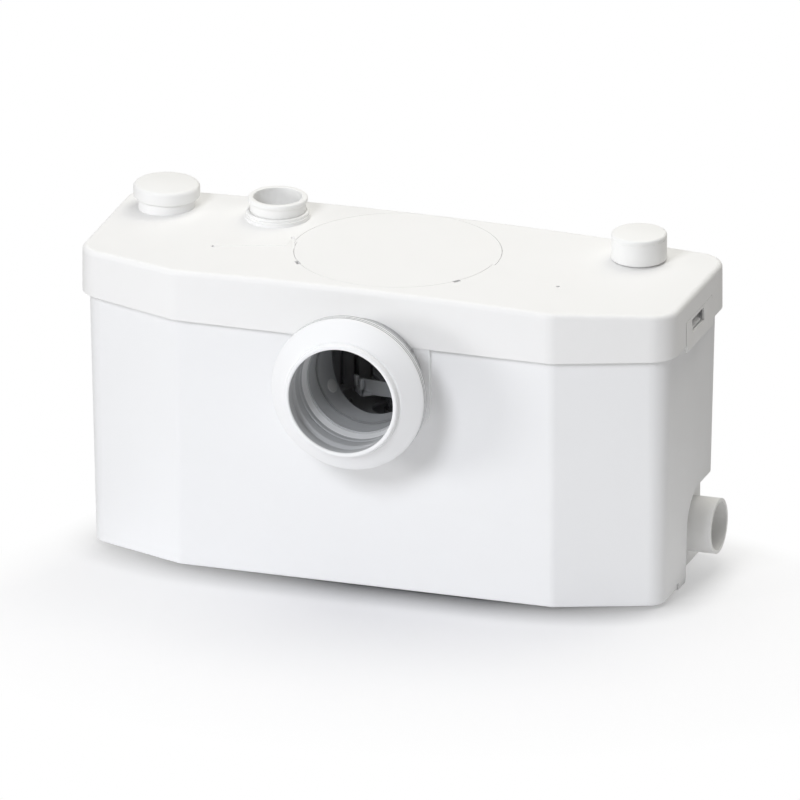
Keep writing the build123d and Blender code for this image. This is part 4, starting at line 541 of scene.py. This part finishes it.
def turned_shape(outline, ring_steps, place):
    """Closed outline of (along, radius, rounding) turned round the local Z axis"""
    bm = bmesh.new()
    corners = [bm.verts.new((radius, 0, along)) for along, radius, rounding in outline]
    for first, second in zip(corners, corners[1:] + corners[:1]):
        bm.edges.new((first, second))
    bmesh.ops.spin(
        bm,
        geom=bm.verts[:] + bm.edges[:],
        cent=(0, 0, 0),
        axis=(0, 0, 1),
        dvec=(0, 0, 0),
        angle=2 * pi,
        steps=ring_steps,
        use_merge=True,
        use_duplicate=False,
    )
    bmesh.ops.remove_doubles(bm, verts=bm.verts, dist=merge_distance)
    bmesh.ops.recalc_face_normals(bm, faces=bm.faces)
    for along, radius, rounding in outline:
        if not rounding:
            continue
        ring = [
            edge
            for edge in bm.edges
            if all(
                abs(vert.co.z - along) < same_place
                and abs(vert.co.xy.length - radius) < same_place
                for vert in edge.verts
            )
        ]
        round_edges(bm, ring, rounding, segments=4)
    bmesh.ops.transform(bm, matrix=place, verts=bm.verts)
    return bm


def foot_of(node):
    """Middle of a node's foot"""
    low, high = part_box(node)
    return Vector(((low.x + high.x) / 2, (low.y + high.y) / 2, low.z))


class PUMP_OT_stage(Operator):
    """Floor, even light, softboxes and the camera"""

    bl_idname = "pump.stage"
    bl_label = "Stage"

    def execute(self, context):
        stage = context.scene.pump_stage
        self.make_floor(context.scene, stage)
        self.make_world(context.scene, stage)
        # Name, place, size, power and tint
        lamps = (
            ("Left softbox", (-2.6, -1.9, 0.7), 0.8, stage.left, (1.0, 1.0, 1.0)),
            ("Front softbox", (-0.5, -2.65, 2.0), 0.9, stage.front, (0.93, 0.95, 1.0)),
            ("Top softbox", (0.1, 0.4, 2.2), 1.8, stage.top, (1.0, 1.0, 1.0)),
            ("Rear softbox", (0.5, 1.5, 2.0), 1.6, stage.rear, (1.0, 0.98, 0.88)),
        )
        for name, spot, size, power, tint in lamps:
            self.make_lamp(context.scene, name, Vector(spot), size, power, tint)
        self.make_camera(context.scene, stage)
        return {"FINISHED"}

    def make_lamp(self, scene, name, spot, size, power, tint):
        """Square softbox that faces the middle of the pump"""
        middle = Vector((0, 0.02, 0.12))
        lamp = bpy.data.lights.new(name, "AREA")
        lamp.size = size
        lamp.energy = power
        lamp.color = tint
        holder = bpy.data.objects.new(name, lamp)
        scene.collection.objects.link(holder)
        holder.location = spot
        holder.rotation_mode = "QUATERNION"
        holder.rotation_quaternion = (middle - spot).to_track_quat("-Z", "Y")

    def make_floor(self, scene, stage):
        """Flat floor that reaches out on all sides"""
        bm = bmesh.new()
        bmesh.ops.create_grid(bm, x_segments=1, y_segments=1, size=stage.floor_reach)
        mesh = bpy.data.meshes.new("Floor")
        bm.to_mesh(mesh)
        bm.free()
        mesh.materials.append(self.floor_finish(stage))
        floor = bpy.data.objects.new("Floor", mesh)
        scene.collection.objects.link(floor)

    def floor_finish(self, stage):
        """Pale and matt, dark where the tank meets it, and white away from the object"""
        material = bpy.data.materials.new("Floor")
        material.use_nodes = True
        tree = material.node_tree
        matt = tree.nodes["Principled BSDF"]
        matt.inputs["Roughness"].default_value = 0.7
        matt.inputs["Specular IOR Level"].default_value = 0.2
        ray = add_node(tree, "ShaderNodeLightPath").outputs
        seen = combined(tree, "MAXIMUM", ray["Is Camera Ray"], ray["Is Glossy Ray"])
        white = add_node(tree, "ShaderNodeEmission").outputs["Emission"]
        clear = add_node(tree, "ShaderNodeBsdfTransparent").outputs["BSDF"]
        place = object_place(tree)

        # Contact shade, which only the camera sees
        links = {"Distance": stage.contact_reach}
        open_share = add_node(tree, "ShaderNodeAmbientOcclusion", links, samples=24).outputs["AO"]
        covered = ranged(tree, open_share, low=1.0, high=0.0, start=0.52, end=0.92)
        contact = combined(tree, "MULTIPLY", covered, ray["Is Camera Ray"])
        under = shade(stage.floor, stage.contact)
        tree.links.new(blended(tree, contact, stage.floor, under), matt.inputs["Base Color"])

        # Fade to white round the object, for the camera and for reflections
        oval = mapped(tree, place, centre=(-0.04, 0.1, 0.0), stretch=(1.0, 1.35, 1.0))
        fade = ranged(tree, distance_of(tree, oval), low=0.0, high=1.0, start=0.06, end=0.48)
        shown = combined(tree, "MULTIPLY", fade, seen)
        near_part = mixed_shader(tree, shown, matt.outputs["BSDF"], white)

        # Past the back and the left end the floor is white, and lights nothing
        turn = (0, 0, radians(20.6))
        turned = parts_of(tree, mapped(tree, place, centre=(0.2214, -0.2153, 0), turn=turn))
        past_left = ranged(tree, turned["X"], low=1.0, high=0.0, start=-0.045, end=0.02)
        past_back = ranged(tree, turned["Y"], low=0.0, high=1.0, start=-0.003, end=0.022)
        beyond = combined(tree, "MAXIMUM", past_left, past_back)
        far_part = mixed_shader(tree, seen, clear, white)
        mixed = mixed_shader(tree, beyond, near_part, far_part)
        tree.links.new(mixed, tree.nodes["Material Output"].inputs["Surface"])
        return material

    def make_world(self, scene, stage):
        """Even light, seen as white"""
        world = bpy.data.worlds.new("Studio")
        scene.world = world
        world.use_nodes = True
        tree = world.node_tree
        even = tree.nodes["Background"]
        even.inputs["Color"].default_value = (1, 0.98, 0.95, 1)
        even.inputs["Strength"].default_value = stage.ambient
        links = {"Color": (1, 1, 1, 1), "Strength": 1.0}
        white = add_node(tree, "ShaderNodeBackground", links).outputs["Background"]
        ray = add_node(tree, "ShaderNodeLightPath").outputs
        seen = combined(tree, "MAXIMUM", ray["Is Camera Ray"], ray["Is Transmission Ray"])
        mixed = mixed_shader(tree, seen, even.outputs["Background"], white)
        tree.links.new(mixed, tree.nodes["World Output"].inputs["Surface"])

    def make_camera(self, scene, stage):
        """Flat view from the front right, a little above"""
        target = Vector((0.002937, 0.0272, 0.13625))
        turn, rise = radians(stage.azimuth), radians(stage.elevation)
        back = Vector((sin(turn) * cos(rise), -cos(turn) * cos(rise), sin(rise)))
        lens = bpy.data.cameras.new("Camera")
        lens.type = "ORTHO"
        lens.ortho_scale = stage.scale
        camera = bpy.data.objects.new("Camera", lens)
        scene.collection.objects.link(camera)
        camera.location = target + back * stage.distance
        camera.rotation_mode = "QUATERNION"
        camera.rotation_quaternion = (-back).to_track_quat("-Z", "Y")
        scene.camera = camera
        scene.view_settings.view_transform = "Standard"


class PUMP_OT_finishes(Operator):
    """Every finish, ready for the pieces"""

    bl_idname = "pump.finishes"
    bl_label = "Finishes"

    def execute(self, context):
        make_finishes(context.scene.pump_colours)
        return {"FINISHED"}


class PUMP_OT_shell(Operator):
    """Tank, lid, service cover and snap tongues"""

    bl_idname = "pump.shell"
    bl_label = "Shell"

    def execute(self, context):
        dress(shell_nodes)
        return {"FINISHED"}


class PUMP_OT_connector(Operator):
    """Soft pan connector with its clamp, and the mark in the tube behind it"""

    bl_idname = "pump.connector"
    bl_label = "Pan connector"

    def execute(self, context):
        sizes = context.scene.pump_connector
        low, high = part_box("wc_sleeve")
        front = Vector((0, low.y, (low.z + high.z) / 2))
        outline = self.outside(sizes, high.y - low.y) + self.inside(sizes)
        place = Matrix.Translation(front) @ Matrix.Rotation(radians(-90), 4, "X")
        bm = turned_shape(outline, sizes.ring_steps, place)
        piece = add_piece("pan_connector", bm, "wc_sleeve", "tank")
        self.paint_inside_shade(piece.data, sizes, front)
        dress(clamp_nodes)
        self.make_boss(sizes, front.z)
        return {"FINISHED"}

    def outside(self, sizes, back):
        """Outline (place, radius, rounding) from the lip over the flange to the spigot"""
        rim, neck, seat_front = sizes.rim, sizes.neck, back - sizes.seat_length
        undercut, chamfer = 0.0002, 0.0016
        outline = [
            (0.0, sizes.bore, 0.0012),
            (0.0, sizes.lip, 0.0016),
            (sizes.lip_back + undercut, sizes.lip, 0.0004),
            (sizes.lip_back, sizes.cone, 0.0010),
            (sizes.cone_end, rim - chamfer, 0.0008),
            (sizes.rim_front, rim, 0.0006),
        ]
        # Grooves of the rim, by their distance from its front
        half_mouth, half_floor = 0.00045, 0.0003
        grooves = ((0.0019, sizes.groove), (0.0045, sizes.groove), (0.0074, sizes.last_groove))
        for distance, deep in grooves:
            middle = sizes.rim_front + distance
            outline += [
                (middle - half_mouth, rim, 0.0),
                (middle - half_floor, rim - deep, 0.0),
                (middle + half_floor, rim - deep, 0.0),
                (middle + half_mouth, rim, 0.0),
            ]
        # Back of the flange, down to the neck
        step, step_end, foot = 0.003, 0.0045, 0.001
        return outline + [
            (sizes.rim_back, rim, 0.0002),
            (sizes.rim_back + step, neck + foot, 0.0012),
            (sizes.rim_back + step_end, neck, 0.0008),
            (back, neck, 0.0005),
            (back, sizes.seat, 0.0),
            (seat_front, sizes.seat, 0.0),
            (seat_front, sizes.bore, 0.0),
        ]

    def inside(self, sizes):
        """Outline (place, radius, rounding) from the back ring over the folds to the lip"""
        bore, wall, bead_rise = sizes.bore, sizes.wall, 0.0002
        bead = wall - bead_rise
        back_crease, back_crease_deep = 0.0412, 0.0007
        front_crease, front_crease_deep = 0.0348, 0.0006
        crease_rise, crease_fall = 0.0012, 0.0014
        fold_slope, lip_slope = 0.0024, 0.0035
        return [
            (sizes.ring_back, bore, 0.0004),
            (sizes.ring_front, wall, 0.0005),
            (back_crease, wall + back_crease_deep, 0.0003),
            (back_crease - crease_fall, bead, 0.0005),
            (front_crease + crease_rise, bead, 0.0005),
            (front_crease, wall + front_crease_deep, 0.0003),
            (front_crease - crease_fall, wall, 0.0005),
            (sizes.fold_back + fold_slope, wall, 0.0008),
            (sizes.fold_back, wall + sizes.fold, 0.0006),
            (sizes.fold_front, wall + sizes.fold, 0.0008),
            (sizes.fold_front - lip_slope, bore, 0.0010),
        ]

    def paint_inside_shade(self, mesh, sizes, front):
        """Grey painted shade on the inside behind the lip, but not on the ring, and dark grey
        painted shade in the rim's grooves
        """
        # Slot 2 is dark grey plastic, painted in the rim's grooves as their shade
        grey_and_painted_shade, groove = 1, 2
        mesh.materials.append(bpy.data.materials["Connector lining"])
        mesh.materials.append(bpy.data.materials["Grey plastic"])
        white_edge, lip_depth, painted_shade_radius = 0.0018, 0.009, 0.0515
        ring_margin, ring_foot = 0.0004, 0.0024
        groove_radius, groove_margin, rim_margin = 0.055, 0.0007, 0.0001
        groove_start, groove_end = sizes.rim_front + groove_margin, sizes.rim_back - rim_margin
        for face in mesh.polygons:
            spoke = face.center - front
            depth = spoke.y
            spoke.y = 0
            inward = face.normal.dot(spoke) < -same_place or face.normal.y < -0.5
            shown = spoke.length < (painted_shade_radius if depth > lip_depth else sizes.wall)
            on_ring = sizes.ring_front - ring_margin < depth < sizes.ring_back + ring_foot
            # Inner faces behind the lip get the grey that is painted as shade
            if inward and shown and depth > white_edge and not on_ring:
                face.material_index = grey_and_painted_shade
            # Faces in the rim's grooves get dark grey plastic, painted as the grooves' shade
            in_rim = groove_radius < spoke.length < sizes.rim - rim_margin
            if in_rim and groove_start < depth < groove_end:
                face.material_index = groove

    def make_boss(self, sizes, axis_z):
        """Round moulding mark on the inlet tube's wall"""
        tube_wall, turn, stretch = 0.0016, radians(59), 1.5
        low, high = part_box("inlet_tube")
        wall = (high.x - low.x) / 2 - tube_wall
        bm = bmesh.new()
        bmesh.ops.create_cone(
            bm,
            cap_ends=True,
            segments=40,
            radius1=sizes.boss,
            radius2=sizes.boss,
            depth=sizes.boss_height,
        )
        round_edges(bm, bm.edges[:], sizes.boss_edge, segments=2)
        place = (
            Matrix.Translation((0, (low.y + high.y) / 2, axis_z))
            @ Matrix.Rotation(turn, 4, "Y")
            @ Matrix.Translation((0, 0, -wall))
            @ Matrix.Diagonal((1, stretch, 1, 1))
        )
        bmesh.ops.transform(bm, matrix=place, verts=bm.verts)
        add_piece(
            "inlet_tube_boss", bm, "inlet_tube", "tank", replaces=False, finish="Boss plastic"
        )


class PUMP_OT_caps(Operator):
    """Vent cap, top inlet cap and discharge collar"""

    bl_idname = "pump.caps"
    bl_label = "Caps and collar"

    def execute(self, context):
        sizes = context.scene.pump_caps
        self.make_vent_cap(sizes)
        self.make_inlet_cap(sizes)
        self.make_collar(sizes)
        dress(neck_nodes)
        return {"FINISHED"}

    def make_vent_cap(self, sizes):
        """Low cap with a rounded top and a drawn-in foot"""
        low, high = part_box("vent_cap")
        tall = high.z - low.z
        foot_rise, foot_inset = 0.0006, 0.003
        outline = [
            (tall, 0.0, 0.0),
            (tall, sizes.vent, sizes.vent_rounding),
            (foot_rise, sizes.vent, 0.0018),
            (0.0, sizes.vent - foot_inset, 0.0004),
            (0.0, sizes.vent_bore, 0.0),
            (tall - sizes.plate, sizes.vent_bore, 0.0006),
            (tall - sizes.plate, 0.0, 0.0),
        ]
        place = Matrix.Translation(foot_of("vent_cap"))
        bm = turned_shape(outline, sizes.ring_steps, place)
        add_piece("vent_mushroom", bm, "vent_cap", "vent_cap")

    def make_inlet_cap(self, sizes):
        """Plain cap with a fine groove near its top"""
        low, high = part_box("inlet_cap")
        tall = high.z - low.z
        line, half_line, line_depth = tall - sizes.inlet_line, 0.0003, 0.0004
        outline = [
            (tall, 0.0, 0.0),
            (tall, sizes.inlet, sizes.inlet_rounding),
            (line + half_line, sizes.inlet, 0.0002),
            (line, sizes.inlet - line_depth, 0.0),
            (line - half_line, sizes.inlet, 0.0002),
            (0.0, sizes.inlet, 0.0008),
            (0.0, sizes.inlet_bore, 0.0004),
            (tall - sizes.plate, sizes.inlet_bore, 0.0006),
            (tall - sizes.plate, 0.0, 0.0),
        ]
        place = Matrix.Translation(foot_of("inlet_cap"))
        bm = turned_shape(outline, sizes.ring_steps, place)
        add_piece("top_inlet_cap", bm, "inlet_cap", "inlet_cap")

    def make_collar(self, sizes):
        """Open collar on a foot of two steps, with its places measured up from the lid's pad"""
        low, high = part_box("discharge_collar")
        pad = high.z - sizes.collar_height
        foot = foot_of("discharge_collar")
        foot.z = pad
        rise, lip_low, shank_top = sizes.collar_height, 0.0126, 0.0112
        upper_top, recess, seam = 0.0042, 0.0034, 0.0019
        recess_depth, recess_width, recess_slope = 0.0004, 0.0007, 0.001
        shank_foot, seam_height, lower_draft = 0.0002, 0.0003, 0.0002
        ledge_top, ledge_low, foot_z = -0.008, -0.0105, low.z - pad
        upper, lower, shank = sizes.upper_step, sizes.lower_step, sizes.shank
        outline = [
            (rise, sizes.collar_bore, 0.0008),
            (rise, sizes.collar_lip, sizes.collar_bead),
            (lip_low, sizes.collar_lip, 0.0012),
            (shank_top, shank, 0.0008),
            (upper_top + shank_foot, shank, 0.0003),
            (recess, shank - recess_depth, 0.0),
            (recess, shank + recess_width, 0.0),
            (upper_top, shank + recess_slope, 0.0003),
            (upper_top, upper, 0.0009),
            (seam + seam_height, upper + seam_height, 0.0003),
            (seam, upper, 0.0),
            (seam - lower_draft, lower - lower_draft, 0.0004),
            (0.0, lower, 0.0003),
            (0.0, sizes.spigot, 0.0),
            (foot_z, sizes.spigot, 0.0005),
            (foot_z, sizes.socket, 0.0),
            (ledge_low, sizes.socket, 0.0),
            (ledge_low, sizes.ledge, 0.0),
            (ledge_top, sizes.ledge, 0.0004),
            (ledge_top, sizes.collar_bore, 0.0006),
        ]
        bm = turned_shape(outline, sizes.ring_steps, Matrix.Translation(foot))
        add_piece("discharge_socket", bm, "discharge_collar", "lid")


class PUMP_OT_cutter(Operator):
    """Cutter over the basket's floor: hub, arms, turned-up tips and two long knives"""

    bl_idname = "pump.cutter"
    bl_label = "Cutter"

    def execute(self, context):
        sizes = context.scene.pump_cutter
        low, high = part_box("cutter_blade")
        hub = foot_of("cutter_blade")
        plate, tall, edge = sizes.plate, high.z - low.z, sizes.edge
        outline = [
            (0.0, sizes.hole, 0.0),
            (0.0, sizes.hub, edge),
            (plate, sizes.hub, edge),
            (plate, sizes.hole, edge),
        ]
        bm = turned_shape(outline, sizes.ring_steps, Matrix.Translation(hub))
        # Spans of the blocks: along the arm, across it and up
        arm_start, arm_inset = 0.011, 0.002
        arm = (arm_start, sizes.reach - arm_inset)
        tip = (sizes.reach - plate, sizes.reach)
        side, inner = sizes.width / 2, sizes.width / 2 - sizes.tooth
        tip_foot, tip_top, tooth_foot = 0.001, 0.007, 0.002
        for quarter in range(-2, 2):
            place = self.turned_place(hub, sizes.arm_turn + 90 * quarter)
            self.add_block(bm, arm, (-side, side), (0.0, plate), place, edge)
            self.add_block(bm, tip, (-side, side), (tip_foot, tip_top), place, edge)
            for tooth in ((-side, -inner), (inner, side)):
                self.add_block(bm, tip, tooth, (tooth_foot, tall), place, edge)
        half_knife, half_length = sizes.knife / 2, sizes.knife_length / 2
        knife = (sizes.knife_distance - half_knife, sizes.knife_distance + half_knife)
        knife_foot, knife_drop = 0.0005, 0.0015
        knife_height = (knife_foot, tall - knife_drop)
        for half in (-1, 0):
            place = self.turned_place(hub, sizes.knife_turn + 180 * half)
            self.add_block(bm, knife, (-half_length, half_length), knife_height, place, edge)
        add_piece("cutter", bm, "cutter_blade", "rotor", finish="Blasted steel")
        return {"FINISHED"}

    def turned_place(self, hub, degrees):
        """Place at the hub, turned about the shaft"""
        return Matrix.Translation(hub) @ Matrix.Rotation(radians(degrees), 4, "Z")

    def add_block(self, bm, along, across, up, place, rounding):
        """Block with rounded edges, between three pairs of distances from a turned place"""
        middle = Vector([(start + end) / 2 for start, end in (along, across, up)])
        size = [end - start for start, end in (along, across, up)]
        matrix = place @ Matrix.Translation(middle) @ Matrix.Diagonal((*size, 1))
        made = set(bmesh.ops.create_cube(bm, size=1.0, matrix=matrix)["verts"])
        edges = [edge for edge in bm.edges if edge.verts[0] in made]
        round_edges(bm, edges, rounding, segments=2)


class PUMP_OT_works(Operator):
    """Everything else, inside and underneath"""

    bl_idname = "pump.works"
    bl_label = "Works"

    def execute(self, context):
        done = {*shell_nodes, *clamp_nodes, *neck_nodes, *replaced_nodes}
        dress(node for node in frame["nodes"] if node not in done)
        for node, name in special_finishes.items():
            for slot in frame["nodes"][node].material_slots:
                slot.material = bpy.data.materials[name]
        return {"FINISHED"}


class PUMP_PT_panel(Panel):
    """Buttons for the stage and the pieces"""

    bl_idname = "PUMP_PT_panel"
    bl_label = "Macerator pump"
    bl_space_type = "VIEW_3D"
    bl_region_type = "UI"
    bl_category = "Macerator"

    def draw(self, context):
        for operator in operators:
            self.layout.operator(operator.bl_idname)


operators = (
    PUMP_OT_finishes,
    PUMP_OT_stage,
    PUMP_OT_shell,
    PUMP_OT_connector,
    PUMP_OT_caps,
    PUMP_OT_cutter,
    PUMP_OT_works,
)
settings = {
    "pump_connector": ConnectorSizes,
    "pump_caps": CapSizes,
    "pump_cutter": CutterSizes,
    "pump_colours": PumpColours,
    "pump_stage": PumpStage,
}


def register():
    for item in (*settings.values(), *operators, PUMP_PT_panel):
        bpy.utils.register_class(item)
    for name, group in settings.items():
        setattr(bpy.types.Scene, name, PointerProperty(type=group))


def unregister():
    for name in settings:
        delattr(bpy.types.Scene, name)
    for item in reversed((*settings.values(), *operators, PUMP_PT_panel)):
        bpy.utils.unregister_class(item)


def main():
    """Make the stage and every piece"""
    register()
    bpy.ops.pump.finishes()
    bpy.ops.pump.stage()
    bpy.ops.pump.shell()
    bpy.ops.pump.connector()
    bpy.ops.pump.caps()
    bpy.ops.pump.cutter()
    bpy.ops.pump.works()


if __name__ == "__main__":
    main()
